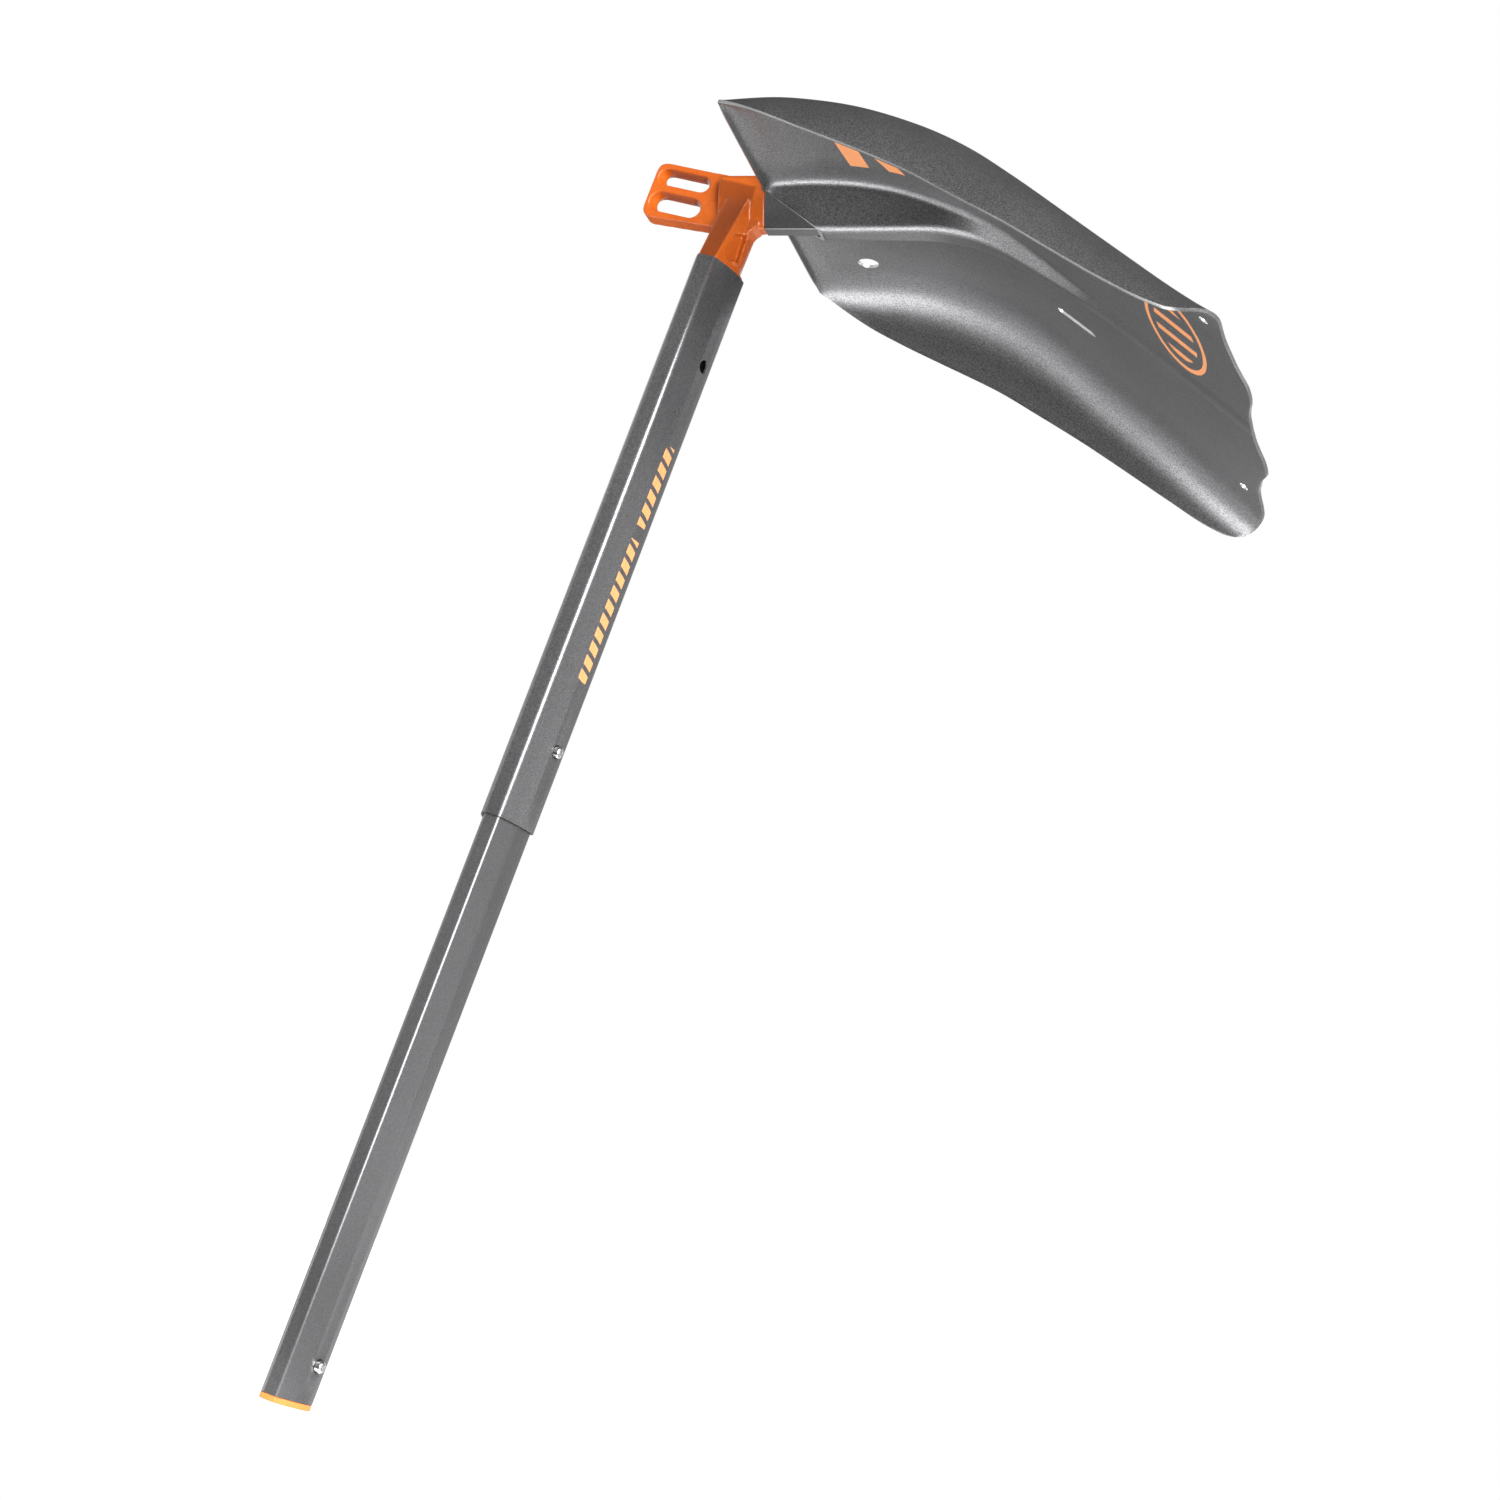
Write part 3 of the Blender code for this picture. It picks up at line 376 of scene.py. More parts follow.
def mapped(tree, low, high, value):
    node = tree.nodes.new("ShaderNodeMapRange")
    feed(tree, node.inputs["Value"], value)
    node.inputs["To Min"].default_value = low
    node.inputs["To Max"].default_value = high
    return node.outputs["Result"]


def noise(tree, place, scale, detail=3.0, rough=0.5):
    node = tree.nodes.new("ShaderNodeTexNoise")
    tree.links.new(place, node.inputs["Vector"])
    node.inputs["Scale"].default_value = scale
    node.inputs["Detail"].default_value = detail
    node.inputs["Roughness"].default_value = rough
    return node.outputs["Fac"]


def object_place(tree, stretch=(1.0, 1.0, 1.0)):
    coords = tree.nodes.new("ShaderNodeTexCoord")
    if stretch == (1.0, 1.0, 1.0):
        return coords.outputs["Object"]
    node = tree.nodes.new("ShaderNodeMapping")
    tree.links.new(coords.outputs["Object"], node.inputs["Vector"])
    node.inputs["Scale"].default_value = stretch
    return node.outputs["Vector"]


def axes_of(tree, place):
    node = tree.nodes.new("ShaderNodeSeparateXYZ")
    tree.links.new(place, node.inputs[0])
    return node.outputs


def bump(tree, height, strength, distance, under=None):
    node = tree.nodes.new("ShaderNodeBump")
    node.inputs["Strength"].default_value = strength
    node.inputs["Distance"].default_value = distance
    tree.links.new(height, node.inputs["Height"])
    if under is not None:
        tree.links.new(under, node.inputs["Normal"])
    return node.outputs["Normal"]


def band(tree, value, low, high, soft=0.00015):
    """1 between low and high."""
    rise = ramp(tree, value, low - soft, low + soft)
    fall = ramp(tree, value, high + soft, high - soft)
    return math_node(tree, "MULTIPLY", rise, fall)


# ---------------------------------------------------------------- materials

PRINT_ORANGE = (0.80, 0.30, 0.10, 1.0)
ALLOY_GREY = (0.172, 0.172, 0.176)
INNER_GREY = (0.165, 0.165, 0.169)
RIM_GREY = (0.25, 0.25, 0.25)
WALL_GREY = (0.62, 0.62, 0.62)
ALLOY_METALLIC = 0.82
ALONG_SHAFT = (420.0, 420.0, 9.0)
ALONG_BLADE = (9.0, 300.0, 300.0)
SPECKLE_SCALE = 1500.0
PATCH_SCALE = 26.0
GRIP_ORANGE = ((0.49, 0.098, 0.009, 1), (0.38, 0.068, 0.006, 1))
PLUG_ORANGE = ((0.80, 0.22, 0.05, 1), (0.70, 0.18, 0.04, 1))
GUIDE_BLACK = ((0.022, 0.022, 0.023, 1), (0.014, 0.014, 0.015, 1))
# How much painted shade darkens a moulded colour, and towards how deep a tint of its dark orange.
SHADED_SHARE = 0.72
SHADED_DEPTH = 0.42

# Printed marks, in metres.
DASH_START, DASH_END = 0.361, 0.4855
DASH_PITCH, DASH_FILL, DASH_LEAN = 0.0073, 0.66, 0.35
DASH_GAP = (0.4355, 0.4428)
DASH_SIDE = (-0.0030, 0.0036)
# Each bar: how far it leans with y, then where it starts and ends along x.
BARS = ((-0.12, 0.0650, 0.0745), (-0.45, 0.0955, 0.1040))
BAR_WIDTH = (-0.082, -0.0325)
RING_X, RING_Y, RING_SQUASH = 0.2440, 0.050, 2.3
RING_INNER, RING_OUTER = 0.0335, 0.0380
STRIPES_WITHIN = 0.0265
STRIPES_PER_METRE = 62.0
STRIPE_FILL = (0.25, 0.60)


def anodised(name, base, rough, speckle, lines, print_mask=None):
    """Satin anodised aluminium: bead-blast speckle, faint drawing lines, handling marks."""
    material, tree, shader = new_material(name, rough, ALLOY_METALLIC)
    place = object_place(tree)
    fine = noise(tree, place, SPECKLE_SCALE, 2.0, 0.6)
    patch = noise(tree, place, PATCH_SCALE, 4.0, 0.6)
    streak = noise(tree, object_place(tree, lines), 1.0, 3.0, 0.6)
    low = tuple(v * (1 - speckle) for v in base) + (1.0,)
    high = tuple(v * (1 + speckle) for v in base) + (1.0,)
    share = ramp(tree, fine, 0.32, 0.68)
    colour = mix_colour(tree, share, low, high)
    shade = mapped(tree, 0.93, 1.07, patch)
    dimmed = tree.nodes.new("ShaderNodeMix")
    dimmed.data_type = "RGBA"
    dimmed.blend_type = "MULTIPLY"
    dimmed.inputs["Factor"].default_value = 1.0
    tree.links.new(colour, dimmed.inputs[6])
    grey = tree.nodes.new("ShaderNodeCombineColor")
    for i in range(3):
        tree.links.new(shade, grey.inputs[i])
    tree.links.new(grey.outputs[0], dimmed.inputs[7])
    colour = dimmed.outputs[2]
    roughness = math_node(
        tree, "ADD", mapped(tree, rough - 0.05, rough + 0.05, patch), mapped(tree, -0.025, 0.025, streak)
    )
    if print_mask is not None:
        mask = print_mask(tree)
        worn = math_node(tree, "MULTIPLY", mask, mapped(tree, 0.80, 1.0, share))
        colour = mix_colour(tree, worn, colour, PRINT_ORANGE)
        roughness = math_node(tree, "ADD", roughness, math_node(tree, "MULTIPLY", mask, 0.08))
        metallic = mapped(tree, ALLOY_METALLIC, 0.0, mask)
        tree.links.new(metallic, shader.inputs["Metallic"])
    tree.links.new(colour, shader.inputs["Base Color"])
    tree.links.new(roughness, shader.inputs["Roughness"])
    first = bump(tree, fine, 0.22, 0.00012)
    tree.links.new(bump(tree, streak, 0.10, 0.00006, first), shader.inputs["Normal"])
    return material


def shaft_marks(tree):
    """A row of slanted dashes down the shaft's side, in two groups."""
    x, y, z = axes_of(tree, object_place(tree))
    lean = math_node(tree, "ADD", z, math_node(tree, "MULTIPLY", y, DASH_LEAN))
    steps = math_node(tree, "DIVIDE", math_node(tree, "SUBTRACT", lean, DASH_START), DASH_PITCH)
    dash = band(tree, math_node(tree, "FRACT", steps), 0.0, DASH_FILL, 0.02)
    long = band(tree, z, DASH_START, DASH_END)
    gap = band(tree, z, *DASH_GAP)
    tall = band(tree, y, *DASH_SIDE)
    side = ramp(tree, x, 0.0002, 0.0004)
    mask = math_node(tree, "MULTIPLY", dash, long)
    mask = math_node(tree, "MULTIPLY", mask, math_node(tree, "SUBTRACT", 1.0, gap))
    mask = math_node(tree, "MULTIPLY", mask, tall)
    return math_node(tree, "MULTIPLY", mask, side, True)


def blade_bar(tree, x, y, lean, start, end):
    return band(tree, math_node(tree, "ADD", x, math_node(tree, "MULTIPLY", y, lean)), start, end)


def blade_marks(tree):
    """Two slanted bars near the socket and a plain striped ring near the tip, under the blade's near half."""
    x, y, z = axes_of(tree, object_place(tree))
    geometry = tree.nodes.new("ShaderNodeNewGeometry")
    facing_down = ramp(tree, axes_of(tree, geometry.outputs["Normal"])[2], 0.05, -0.05)
    first, second = (blade_bar(tree, x, y, *bar) for bar in BARS)
    bars = math_node(tree, "MULTIPLY", math_node(tree, "MAXIMUM", first, second), band(tree, y, *BAR_WIDTH))
    dx = math_node(tree, "MULTIPLY", math_node(tree, "SUBTRACT", x, RING_X), RING_SQUASH)
    dy = math_node(tree, "ADD", y, RING_Y)
    squares = (math_node(tree, "MULTIPLY", dx, dx), math_node(tree, "MULTIPLY", dy, dy))
    away = math_node(tree, "SQRT", math_node(tree, "ADD", *squares))
    ring = band(tree, away, RING_INNER, RING_OUTER)
    cycle = math_node(tree, "FRACT", math_node(tree, "MULTIPLY", dy, STRIPES_PER_METRE))
    inside = ramp(tree, away, STRIPES_WITHIN, STRIPES_WITHIN - 0.0003)
    stripes = math_node(tree, "MULTIPLY", band(tree, cycle, *STRIPE_FILL, 0.02), inside)
    shapes = math_node(tree, "MAXIMUM", bars, math_node(tree, "MAXIMUM", ring, stripes))
    return math_node(tree, "MULTIPLY", shapes, facing_down, True)


def painted_shade_on_neck_front(tree):
    """1 on the neck's flat front below the boss, where the orange is darkened as painted shade."""
    x, y, z = axes_of(tree, object_place(tree))
    geometry = tree.nodes.new("ShaderNodeNewGeometry")
    ahead = ramp(tree, axes_of(tree, geometry.outputs["Normal"])[1], -0.88, -0.96)
    low = (SHAFT_TOP + NECK_TOP - 2.0) * MM
    below = ramp(tree, z, low + 0.0012, low)
    ahead = math_node(tree, "MULTIPLY", ahead, ramp(tree, x, 0.0098, 0.0088))
    ahead = math_node(tree, "MULTIPLY", ahead, below)
    return math_node(tree, "MULTIPLY", ahead, ramp(tree, y, -0.0070, -0.0084), True)


def moulded(name, light, dark, rough, grain, shaded=None):
    """Painted casting or moulded plastic: slight mottling, orange-peel skin."""
    material, tree, shader = new_material(name, rough, 0.0)
    place = object_place(tree)
    patch = noise(tree, place, 60.0, 4.0, 0.6)
    skin = noise(tree, place, grain, 3.0, 0.5)
    colour = mix_colour(tree, ramp(tree, patch, 0.25, 0.75), dark, light)
    # Painted shade: where the mask is 1, the colour is pulled towards a deep tint of the dark orange.
    if shaded is not None:
        share = math_node(tree, "MULTIPLY", shaded(tree), SHADED_SHARE)
        colour = mix_colour(tree, share, colour, tuple(SHADED_DEPTH * v for v in dark[:3]) + (1.0,))
    tree.links.new(colour, shader.inputs["Base Color"])
    tree.links.new(mapped(tree, rough - 0.06, rough + 0.06, patch), shader.inputs["Roughness"])
    tree.links.new(bump(tree, skin, 0.18, 0.0001), shader.inputs["Normal"])
    shader.inputs["Specular IOR Level"].default_value = 0.40
    shader.inputs["Coat Weight"].default_value = 0.10
    shader.inputs["Coat Roughness"].default_value = 0.20
    return material


def steel_finish():
    material, tree, shader = new_material("button_steel_look", 0.2, 1.0)
    place = object_place(tree)
    rings = noise(tree, place, 900.0, 3.0, 0.6)
    tree.links.new(
        mix_colour(tree, rings, (0.50, 0.50, 0.49, 1.0), (0.72, 0.72, 0.70, 1.0)), shader.inputs["Base Color"]
    )
    tree.links.new(mapped(tree, 0.14, 0.30, rings), shader.inputs["Roughness"])
    tree.links.new(bump(tree, rings, 0.08, 0.00005), shader.inputs["Normal"])
    return material


# ---------------------------------------------------------------- shapes

def new_object(name, mesh, material):
    made = bpy.data.objects.new(name, mesh)
    bpy.context.scene.collection.objects.link(made)
    if material is not None:
        mesh.materials.append(material)
    return made


def line_at(line, x):
    """The value of a drawn line at x, smoothed so that neighbouring stations join without a kink."""
    xs = np.array([point[0] for point in line])
    ys = np.array([point[1] for point in line])
    slopes = np.gradient(ys, xs)
    i = int(np.clip(np.searchsorted(xs, x) - 1, 0, len(xs) - 2))
    span = xs[i + 1] - xs[i]
    t = float(np.clip((x - xs[i]) / span, 0.0, 1.0))
    h = (2 * t**3 - 3 * t**2 + 1, t**3 - 2 * t**2 + t, -2 * t**3 + 3 * t**2, t**3 - t**2)
    return float(h[0] * ys[i] + h[1] * span * slopes[i] + h[2] * ys[i + 1] + h[3] * span * slopes[i + 1])


def rounded(points, radii, steps, closed=True):
    """The outline with each corner replaced by a curve about as round as an arc of its radius."""
    points = [np.array(point, float) for point in points]
    count = len(points)
    out = []
    for i, corner in enumerate(points):
        if not closed and i in (0, count - 1):
            out.append(corner)
            continue
        before = points[i - 1] - corner
        after = points[(i + 1) % count] - corner
        reach_before, reach_after = np.linalg.norm(before), np.linalg.norm(after)
        before, after = before / reach_before, after / reach_after
        half = 0.5 * math.acos(float(np.clip(before @ after, -1.0, 1.0)))
        room = 0.9 if not closed and i == 1 else 0.46
        back = min(radii[i] / max(math.tan(half), 1e-6), room * reach_before, 0.46 * reach_after)
        start, end = corner + before * back, corner + after * back
        for k in range(steps + 1):
            t = k / steps
            out.append((1 - t) ** 2 * start + 2 * t * (1 - t) * corner + t**2 * end)
    return out


def offset(points, distance):
    """A closed outline moved inwards by the distance, for an outline that runs anticlockwise."""
    points = [np.array(point, float) for point in points]
    out = []
    for i, point in enumerate(points):
        along = point - points[i - 1]
        onward = points[(i + 1) % len(points)] - point
        left = np.array((-along[1], along[0])) / np.linalg.norm(along)
        right = np.array((-onward[1], onward[0])) / np.linalg.norm(onward)
        mitre = (left + right) / (1.0 + left @ right)
        out.append(point + mitre * distance)
    return out


def shaft_section(inwards, steps=9, half=SECTION_HALF, radii=SECTION_RADII):
    """Closed outline in mm from its right half, which is the shaft's outside unless given, moved inwards."""
    left = [(-x, y) for x, y in reversed(half)]
    sharp = offset(list(half) + left, inwards)
    inner = [max(radius - inwards, 0.8) for radius in radii]
    return rounded(sharp, inner + inner[::-1], steps)


def prism(name, outlines, start, end, matrix=Matrix.Identity(4)):
    """A flat outline in mm, with any holes, filled and pulled from start to end along the frame's Z."""
    curve = bpy.data.curves.new(name + "_outline", "CURVE")
    curve.dimensions = "2D"
    curve.fill_mode = "BOTH"
    curve.extrude = (end - start) / 2 * MM
    for outline in outlines:
        spline = curve.splines.new("POLY")
        spline.points.add(len(outline) - 1)
        for point, place in zip(spline.points, outline):
            point.co = (place[0] * MM, place[1] * MM, 0.0, 1.0)
        spline.use_cyclic_u = True
    drawn = bpy.data.objects.new(name + "_curve", curve)
    bpy.context.scene.collection.objects.link(drawn)
    graph = bpy.context.evaluated_depsgraph_get()
    mesh = bpy.data.meshes.new_from_object(drawn.evaluated_get(graph))
    bpy.data.objects.remove(drawn, do_unlink=True)
    work = bmesh.new()
    work.from_mesh(mesh)
    bmesh.ops.remove_doubles(work, verts=work.verts, dist=WELD)
    bmesh.ops.translate(work, verts=work.verts, vec=(0.0, 0.0, (start + end) / 2 * MM))
    bmesh.ops.recalc_face_normals(work, faces=work.faces)
    work.to_mesh(mesh)
    work.free()
    mesh.transform(matrix)
    mesh.materials.clear()
    mesh.name = name
    return mesh


def turned(name, profile, matrix, steps=TURNED_SIDES):
    """A solid of revolution about the frame's Z; the profile in mm runs down the outer side."""
    work = bmesh.new()
    verts = [work.verts.new((radius * MM, 0.0, height * MM)) for radius, height in profile]
    edges = [work.edges.new(pair) for pair in zip(verts, verts[1:])]
    bmesh.ops.spin(
        work, geom=verts + edges, cent=(0, 0, 0), axis=(0, 0, 1), angle=math.tau, steps=steps, use_merge=True,
    )
    bmesh.ops.remove_doubles(work, verts=work.verts, dist=WELD)
    bmesh.ops.recalc_face_normals(work, faces=work.faces)
    mesh = bpy.data.meshes.new(name)
    work.to_mesh(mesh)
    work.free()
    mesh.transform(matrix)
    return mesh


def pointing(place, direction):
    """A frame at the place in mm whose Z runs along the direction."""
    along = Vector(direction).normalized()
    side = Vector((0.0, 0.0, 1.0)).cross(along)
    if side.length < 1e-6:
        side = Vector((0.0, 1.0, 0.0)).cross(along)
    side.normalize()
    turn = Matrix((side, along.cross(side), along)).transposed().to_4x4()
    return Matrix.Translation(Vector(place) * MM) @ turn


def spigot_frame():
    """X is the blade's width, Y the spigot's back, Z its length; the origin is on the shaft's axis."""
    along = Vector((math.cos(SPIGOT_TILT), 0.0, math.sin(SPIGOT_TILT)))
    back = Vector((-math.sin(SPIGOT_TILT), 0.0, math.cos(SPIGOT_TILT)))
    turn = Matrix((back.cross(along), back, along)).transposed().to_4x4()
    return Matrix.Translation((0.0, 0.0, SPIGOT_AXIS_Z * MM)) @ turn


def plane_xz():
    """A frame whose X is +X, whose Y is +Z and whose Z is -Y."""
    return Matrix(((1, 0, 0), (0, 0, -1), (0, 1, 0))).to_4x4()


def cutter_of(mesh):
    made = bpy.data.objects.new(mesh.name, mesh)
    bpy.context.scene.collection.objects.link(made)
    return made


def drill(name, radius, length, place, direction):
    profile = ((0.0, length / 2), (radius, length / 2), (radius, -length / 2), (0.0, -length / 2))
    return cutter_of(turned(name, profile, pointing(place, direction), HOLE_SIDES))


def combine(target, others, operation="DIFFERENCE"):
    """The Boolean of the target with each helper, which are then removed."""
    for other in others:
        modifier = target.modifiers.new(other.name, "BOOLEAN")
        modifier.operation = operation
        modifier.solver = "EXACT"
        modifier.object = other
    settle(target)
    for other in others:
        bpy.data.objects.remove(other, do_unlink=True)


def settle(target):
    """Applies the modifiers to the mesh."""
    graph = bpy.context.evaluated_depsgraph_get()
    mesh = bpy.data.meshes.new_from_object(target.evaluated_get(graph))
    target.modifiers.clear()
    old = target.data
    target.data = mesh
    bpy.data.meshes.remove(old)


def bare_walls(cutter, looks):
    """The walls that this cutter leaves take the last of the looks, bare metal."""
    cutter.data.materials.clear()
    for look in looks:
        cutter.data.materials.append(look)
    for face in cutter.data.polygons:
        face.material_index = len(looks) - 1


def soften_rims(target, width):
    """Small rounds with the rim's look on the sharp edges, then smooth shading that keeps the flats flat."""
    bevel = target.modifiers.new("rims", "BEVEL")
    bevel.material = 1
    bevel.width = width * MM
    bevel.segments = 2
    bevel.limit_method = "ANGLE"
    bevel.angle_limit = math.radians(50)
    bevel.harden_normals = False
    bevel.use_clamp_overlap = True
    settle(target)
    target.data.shade_smooth()
    target.data.set_sharp_from_angle(angle=SMOOTH_BELOW)


# ---------------------------------------------------------------- pieces

def between(start, end, count):
    return [start + (end - start) * (k + 1) / (count + 1) for k in range(count)]


def blade_section(x):
    """Half of the blade's cross-section at x: crest, flank, floor and side wall, as (y, z) in mm."""
    floor, crest = line_at(FLOOR_LINE, x), line_at(CREST_LINE, x)
    crest = min(crest, floor - LEAST_CREST_DROP)
    edge = (line_at(EDGE_HALF_WIDTH, x), min(line_at(EDGE_LINE, x), floor - LEAST_WALL_DROP))
    inner = rounded(
        ((0.0, crest), (line_at(CREST_HALF_WIDTH, x), crest), (line_at(FOOT_HALF_WIDTH, x), floor),
         (line_at(KNEE_START, x), floor)),
        (0, line_at(CREST_RADIUS, x), line_at(FOOT_RADIUS, x), 0), ARC_STEPS, closed=False,
    )
    start, bend = inner[-1], np.array((line_at(WALL_KNEE, x), floor))
    wall = []
    for k in range(1, KNEE_STEPS + 1):
        t = k / KNEE_STEPS
        wall.append((1 - t) ** 2 * start + 2 * t * (1 - t) * bend + t**2 * np.array(edge))
    return inner[:-1] + between(inner[-2], start, FLOOR_COLUMNS) + [start] + wall


def blade_stations():
    """Close rows over the rear lip's tight curl, even rows along the rest."""
    curl = [REAR_X + (CURL_END - REAR_X) * (k / CURL_ROWS) ** CURL_CROWDING for k in range(CURL_ROWS)]
    count = int((TIP_X - CURL_END) / ROW_STEP)
    return curl + [CURL_END + (TIP_X - CURL_END) * k / count for k in range(count + 1)]


def sheet_mesh(name, rows):
    """A lofted sheet from half rows that run from the centre line out, mirrored across it."""
    verts, faces = [], []
    for row in rows:
        verts += [(x, -y, z) for x, y, z in reversed(row)] + row[1:]
    across = 2 * len(rows[0]) - 1
    for i in range(len(rows) - 1):
        for j in range(across - 1):
            a, b = i * across + j, (i + 1) * across + j
            faces.append((a, a + 1, b + 1, b))
    mesh = bpy.data.meshes.new(name)
    mesh.from_pydata(verts, [], faces)
    return mesh


def slot_outline(left, right, centre, height, steps=12):
    half = height / 2
    points = []
    for k in range(steps + 1):
        angle = -math.pi / 2 + math.pi * k / steps
        points.append((right - half + half * math.cos(angle), centre + half * math.sin(angle)))
    for k in range(steps + 1):
        angle = math.pi / 2 + math.pi * k / steps
        points.append((left + half + half * math.cos(angle), centre + half * math.sin(angle)))
    return points


def thicken(target, thickness):
    shell = target.modifiers.new("sheet", "SOLIDIFY")
    shell.material_offset_rim = 1
    shell.thickness = thickness * MM
    shell.offset = -1.0
    shell.use_even_offset = True
    settle(target)


def blade_rows():
    """Half sections from the rear lip to the tip, each column drawn out to the tip's outline."""
    ends = [line_at(TIP_OUTLINE, point[0]) for point in blade_section(TIP_X)]
    rows = []
    for station in blade_stations():
        share = (station - REAR_X) / (TIP_X - REAR_X)
        row = []
        for column, end in enumerate(ends):
            x = REAR_X + share * (end - REAR_X)
            y, z = blade_section(x)[column]
            row.append((x * MM, y * MM, (SHAFT_TOP + z) * MM))
        rows.append(row)
    return rows


def mouth_cutter():
    """The wedge that opens the ridge's rear end to the spigot."""
    back, deep = MOUTH_FOOT[0] - MOUTH_BACK, MOUTH_FOOT[1] + 2
    line = [(back, MOUTH_LOW), (MOUTH_CREST[0], MOUTH_LOW), MOUTH_CREST, MOUTH_FOOT, (back, deep)]
    outline = [(x, SHAFT_TOP + z) for x, z in line]
    return cutter_of(prism("mouth_cutter", (outline,), -MOUTH_HALF_WIDTH, MOUTH_HALF_WIDTH, plane_xz()))


def blade_cutters():
    """Mouth, anchor hole, a corner hole and a slot on each side, and the lock button's hole."""
    top = SHAFT_TOP
    x, y, radius = ANCHOR_HOLE
    cutters = [mouth_cutter(), drill("anchor", radius, 20, (x, y, top + line_at(FLOOR_LINE, x)), (0, 0, 1))]
    for sign, name in ((-1, "near"), (1, "far")):
        x, y, radius = CORNER_HOLE
        cutters.append(drill("corner_" + name, radius, 24, (x, sign * y, top + CORNER_HOLE_Z), (0.4, 0, 1)))
        x, y, length, height = SIDE_SLOT
        outline = slot_outline(x - length / 2, x + length / 2, sign * y, height)
        low, high = (top + z for z in SLOT_CUT)
        cutters.append(cutter_of(prism("slot_" + name, (outline,), low, high)))
    frame = spigot_frame()
    seat = frame @ (Vector((LOCK_HOLE_SIDE, BUTTON_Y, SPIGOT_BUTTON_S)) * MM)
    out = frame.to_3x3() @ Vector((1.0, 0.0, 0.0))
    return cutters + [drill("lock_hole", BUTTON_HOLE_R, 12, seat / MM, out)]


def make_blade(material, rim, bare):
    """The pressed blade, with softly broken edges round the rim, the holes and the mouth."""
    blade = new_object("blade_sheet", sheet_mesh("blade_sheet", blade_rows()), material)
    for look in (rim, bare):
        blade.data.materials.append(look)
    thicken(blade, SHEET)
    cutters = blade_cutters()
    for cutter in cutters:
        bare_walls(cutter, (material, rim, bare))
    combine(blade, cutters)
    soften_rims(blade, BLADE_RIM)
    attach(blade, "blade_assembly")
    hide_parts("blade")


def make_tube(name, node, body, inwards, start, end, holes, material, rim):
    """A drawn tube with bright broken edges at its ends and round its button holes."""
    loops = (shaft_section(inwards), shaft_section(inwards + TUBE_WALL))
    tube = new_object(name, prism(name, loops, start, end), material)
    cutters = []
    for i, z in enumerate(holes):
        cutters.append(drill(f"{name}_hole_{i}", BUTTON_HOLE_R, 10, (11.0, BUTTON_Y, z), (1, 0, 0)))
    tube.data.materials.append(rim)
    for cutter in cutters:
        bare_walls(cutter, (material, rim))
    combine(tube, cutters)
    soften_rims(tube, TUBE_RIM)
    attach(tube, body)
    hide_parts(node)
    return tube


def lofted(name, rings):
    """A closed skin over rings of points in mm that follow one another, capped at both ends."""
    work = bmesh.new()
    rings = [[work.verts.new([value * MM for value in point]) for point in ring] for ring in rings]
    for lower, upper in zip(rings, rings[1:]):
        for i in range(len(lower)):
            j = (i + 1) % len(lower)
            work.faces.new((lower[i], lower[j], upper[j], upper[i]))
    work.faces.new(rings[0])
    work.faces.new(rings[-1])
    bmesh.ops.recalc_face_normals(work, faces=work.faces)
    mesh = bpy.data.meshes.new(name)
    work.to_mesh(mesh)
    work.free()
    return cutter_of(mesh)


def waisted_slot(name, centre, height):
    """A slot through the plate that narrows from both faces to a waist, most of all at its ends."""
    half = PLATE_HALF_THICK
    levels = ((-half - 1.0, 0.0), (-half + 0.6, 0.0), (0.0, SLOT_WAIST), (half - 0.6, 0.0), (half + 1.0, 0.0))
    rings = []
    for y, waist in levels:
        left, right = SLOT_LEFT + waist, SLOT_RIGHT - 0.6 * waist
        outline = slot_outline(left, right, SHAFT_TOP + centre, height - 0.3 * waist, 24)
        rings.append([(x, y, z) for x, z in outline])
    return lofted(name, rings)


def grip_plate(material):
    """The finger plate with its two slots and rounded edges."""
    low, high = SHAFT_TOP + PLATE_LOW, SHAFT_TOP + PLATE_HIGH
    corners = [(PLATE_LEFT, low), (4.0, low + 3.0), (4.0, high + 0.8), (PLATE_LEFT, high)]
    outline = rounded(corners, [PLATE_CORNER, 2, 1, PLATE_CORNER], 12)
    half = PLATE_HALF_THICK
    mesh = prism("grip_body", [outline], -half, half, plane_xz())
    plate = new_object("grip_body", mesh, material)
    slots = enumerate(zip(SLOT_CENTRES, SLOT_HEIGHTS))
    combine(plate, [waisted_slot(f"slot_{i}", centre, height) for i, (centre, height) in slots])
    bevel = plate.modifiers.new("edges", "BEVEL")
    bevel.width = PLATE_ROUND * MM
    bevel.segments = 4
    bevel.limit_method = "ANGLE"
    bevel.angle_limit = math.radians(50)
    settle(plate)
    return plate


def grip_neck():
    """The tapered neck, whose head leans towards the spigot."""
    foot = shaft_section(0.0, 9, NECK_HALF, NECK_RADII)
    head = shaft_section(0.0, 9, NECK_TOP_HALF, NECK_RADII)
    foot_ring = [(x, y, SHAFT_TOP + NECK_FOOT) for x, y in foot]
    head_ring = [(x + NECK_LEAN, y, SHAFT_TOP + NECK_TOP) for x, y in head]
    return lofted("neck", [foot_ring, head_ring])


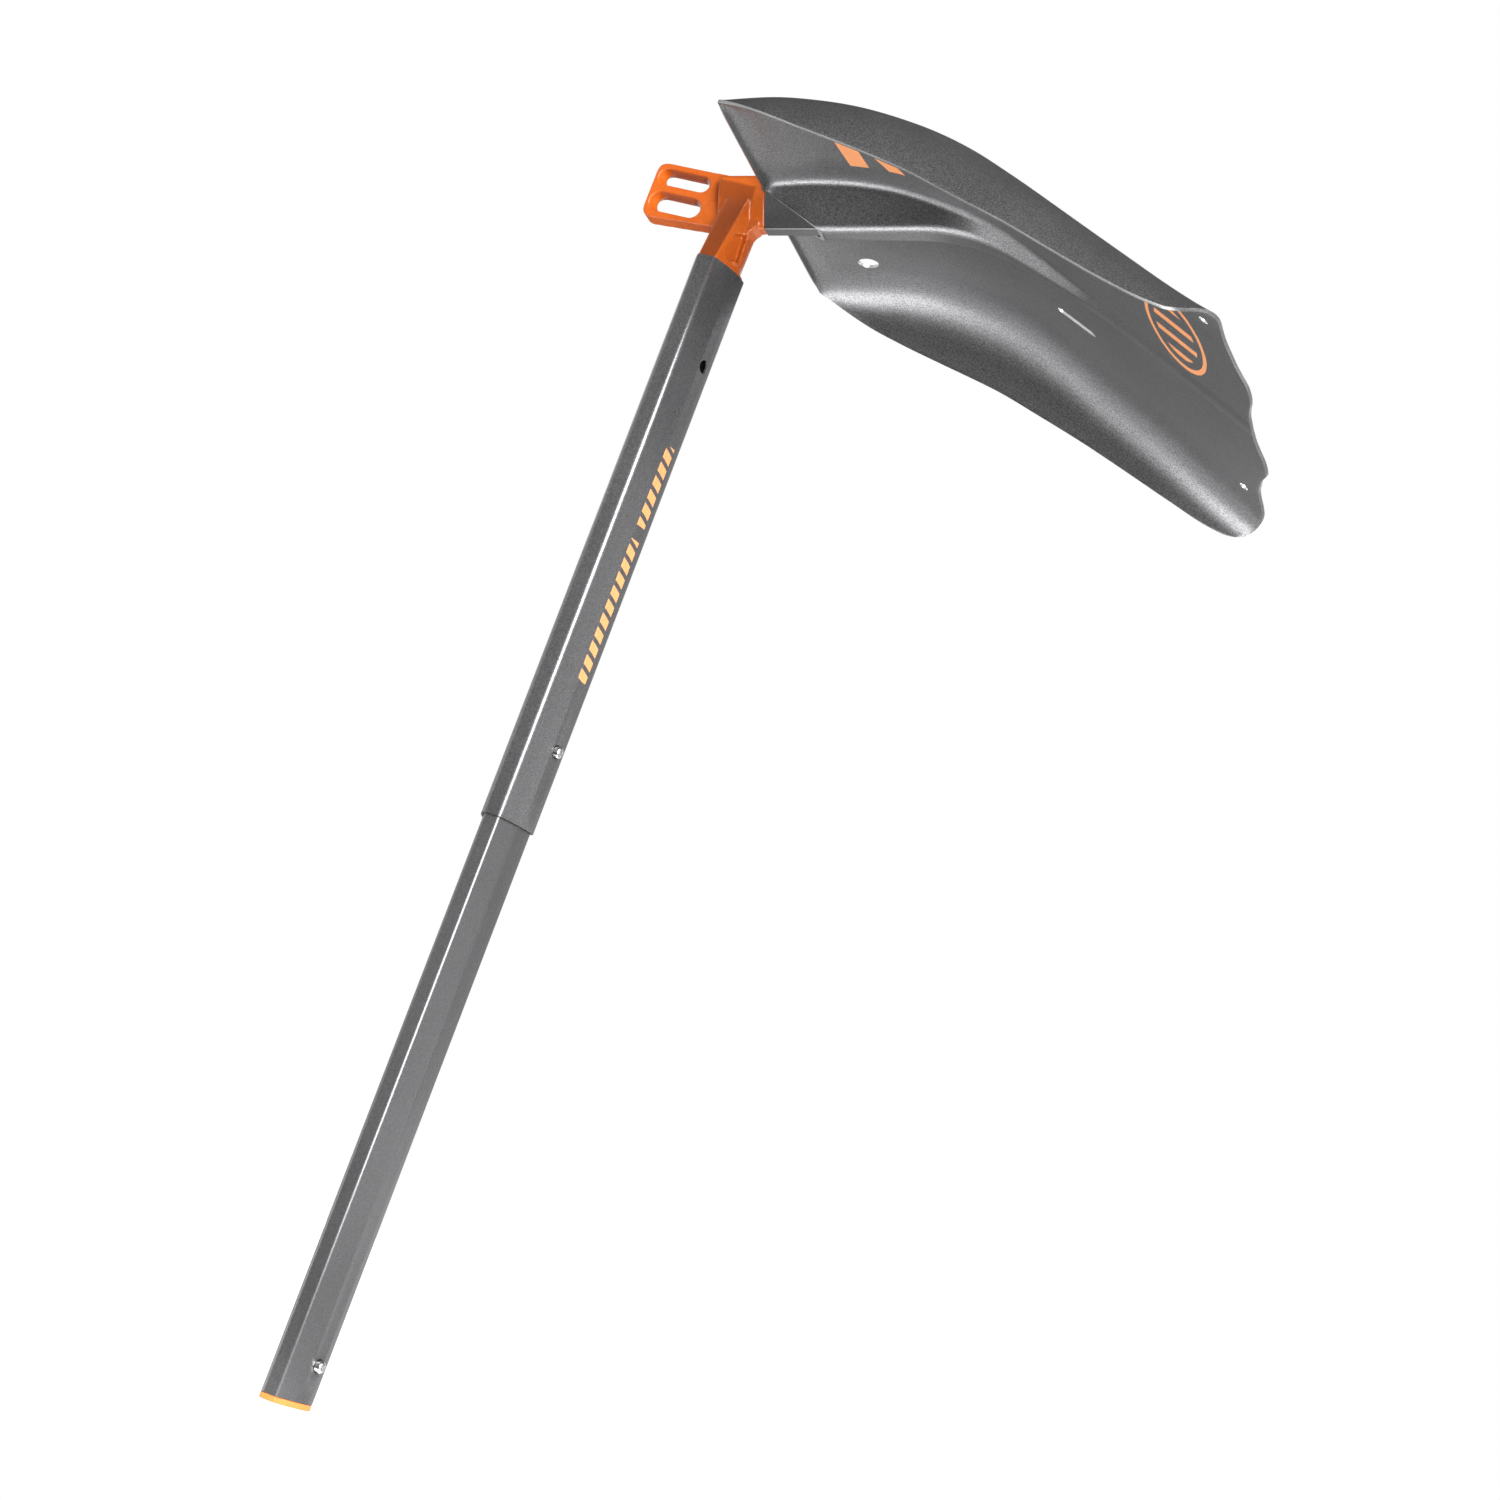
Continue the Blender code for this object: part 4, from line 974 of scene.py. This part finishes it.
def grip_parts():
    """The neck's plug in the shaft, the boss with its plug in the spigot, and the web between them."""
    frame = spigot_frame()
    top, plug_end = SHAFT_TOP, SPIGOT_START + SPIGOT_PLUG_DEPTH
    neck_stub, boss_stub = TUBE_WALL + CASTING_GAP, TUBE_STEP + TUBE_WALL + CASTING_GAP
    web = [(x, top + z) for x, z in WEB_LINE]
    return (
        prism("neck_stub", (shaft_section(neck_stub),), top - NECK_DEPTH, top + 2),
        prism("boss", (shaft_section(TUBE_STEP + CASTING_GAP),), BOSS_BACK, SPIGOT_START, frame),
        prism("boss_stub", (shaft_section(boss_stub),), SPIGOT_START - 2, plug_end, frame),
        prism("web", (web,), -WEB_HALF_THICK, WEB_HALF_THICK, plane_xz()),
    )


def grip_pocket():
    """The shallow pocket in the neck's side."""
    side = pointing((*POCKET_PLACE, SHAFT_TOP), POCKET_FACING)
    outline = rounded(POCKET_LINE, [POCKET_CORNER] * len(POCKET_LINE), 8)
    return cutter_of(prism("pocket", (outline,), -POCKET_DEPTH, 8.0, side))


def make_grip(material):
    """The T-grip casting: one skin with filleted joins between neck, boss, web and slotted plate."""
    grip = grip_plate(material)
    combine(grip, [grip_neck()] + [cutter_of(part) for part in grip_parts()], "UNION")
    combine(grip, [grip_pocket()])
    skin = grip.modifiers.new("skin", "REMESH")
    skin.mode = "VOXEL"
    skin.voxel_size = SKIN_VOXEL * MM
    settle(grip)
    relax = grip.modifiers.new("relax", "SMOOTH")
    relax.factor = 0.5
    relax.iterations = SKIN_RELAX_STEPS
    settle(grip)
    grip.data.shade_smooth()
    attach(grip, "upper_shaft")
    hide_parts("grip_casting")


def make_stud(name, node, body, matrix, top, material):
    """A snap button: a polished dome with a turned groove and a dimple."""
    profile = (
        (0.0, top - 0.30), (0.55, top - 0.24), (0.80, top - 0.02), (1.1, top), (0.62 * STUD_R, top - 0.16),
        (0.80 * STUD_R, top - 0.44), (0.92 * STUD_R, top - 0.86), (0.985 * STUD_R, top - 1.3),
        (STUD_R, top - 1.7), (STUD_R, 8.0), (4.1, 7.7), (4.1, 6.8), (2.0, 6.8), (2.0, 6.1), (0.0, 6.1),
    )
    stud = new_object(name, turned(name, profile, matrix), material)
    stud.data.shade_smooth()
    stud.data.set_sharp_from_angle(angle=math.radians(40))
    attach(stud, body)
    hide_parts(node)


def dress_nodes(frame, looks, steel, other):
    """Gives each CAD node's slots their look: its own, steel for buttons and rivets, else the other."""
    for name, node in frame["nodes"].items():
        look = looks.get(name, other)
        if "button" in name or "rivet" in name:
            look = steel
        for slot in node.material_slots:
            slot.material = look


def main():
    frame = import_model()
    add_camera()
    add_studio()
    shaft = anodised("shaft_look", ALLOY_GREY, 0.29, 0.28, ALONG_SHAFT, shaft_marks)
    blade = anodised("blade_look", ALLOY_GREY, 0.33, 0.46, ALONG_BLADE, blade_marks)
    hidden = anodised("inner_look", INNER_GREY, 0.32, 0.18, ALONG_SHAFT)
    # The grip's orange carries painted shade on the neck's flat front.
    orange = moulded("grip_look", *GRIP_ORANGE, 0.26, 700.0, painted_shade_on_neck_front)
    pale = moulded("plug_look", *PLUG_ORANGE, 0.45, 900.0)
    black = moulded("guide_look", *GUIDE_BLACK, 0.5, 900.0)
    steel = steel_finish()
    # The rounded edges take a lighter grey than the faces, so they show as bright lines.
    rim = anodised("bright_rim_look", RIM_GREY, 0.30, 0.25, ALONG_SHAFT)
    bare = anodised("bare_wall_look", WALL_GREY, 0.34, 0.15, ALONG_SHAFT)
    looks = {
        "grip_casting": orange, "shaft_end_plug": pale, "tube_guide_bush": black, "spigot_end_cap": black,
        "socket_strap": blade,
    }
    dress_nodes(frame, looks, steel, hidden)
    make_blade(blade, rim, bare)
    make_tube(
        "upper_tube", "upper_shaft_tube", "upper_shaft", 0.0, SHAFT_JOINT, SHAFT_TOP,
        (UPPER_HOLE_Z, TELESCOPE_Z), shaft, rim,
    )
    make_tube(
        "lower_tube", "lower_shaft_tube", "lower_shaft", TUBE_STEP, PLUG_FLANGE + 0.3, LOWER_TUBE_TOP,
        (BLADE_LOCK_Z, TELESCOPE_Z), hidden, rim,
    )
    make_grip(orange)
    studs = (("telescope_button", TELESCOPE_Z, TUBE_STEP), ("blade_lock_button", BLADE_LOCK_Z, 0.0))
    for node, height, walls in studs:
        place = pointing((0.0, BUTTON_Y, height), (1, 0, 0))
        make_stud(node + "_stud", node, node, place, LOWER_SIDE + walls + STUD_PROUD, steel)


main()
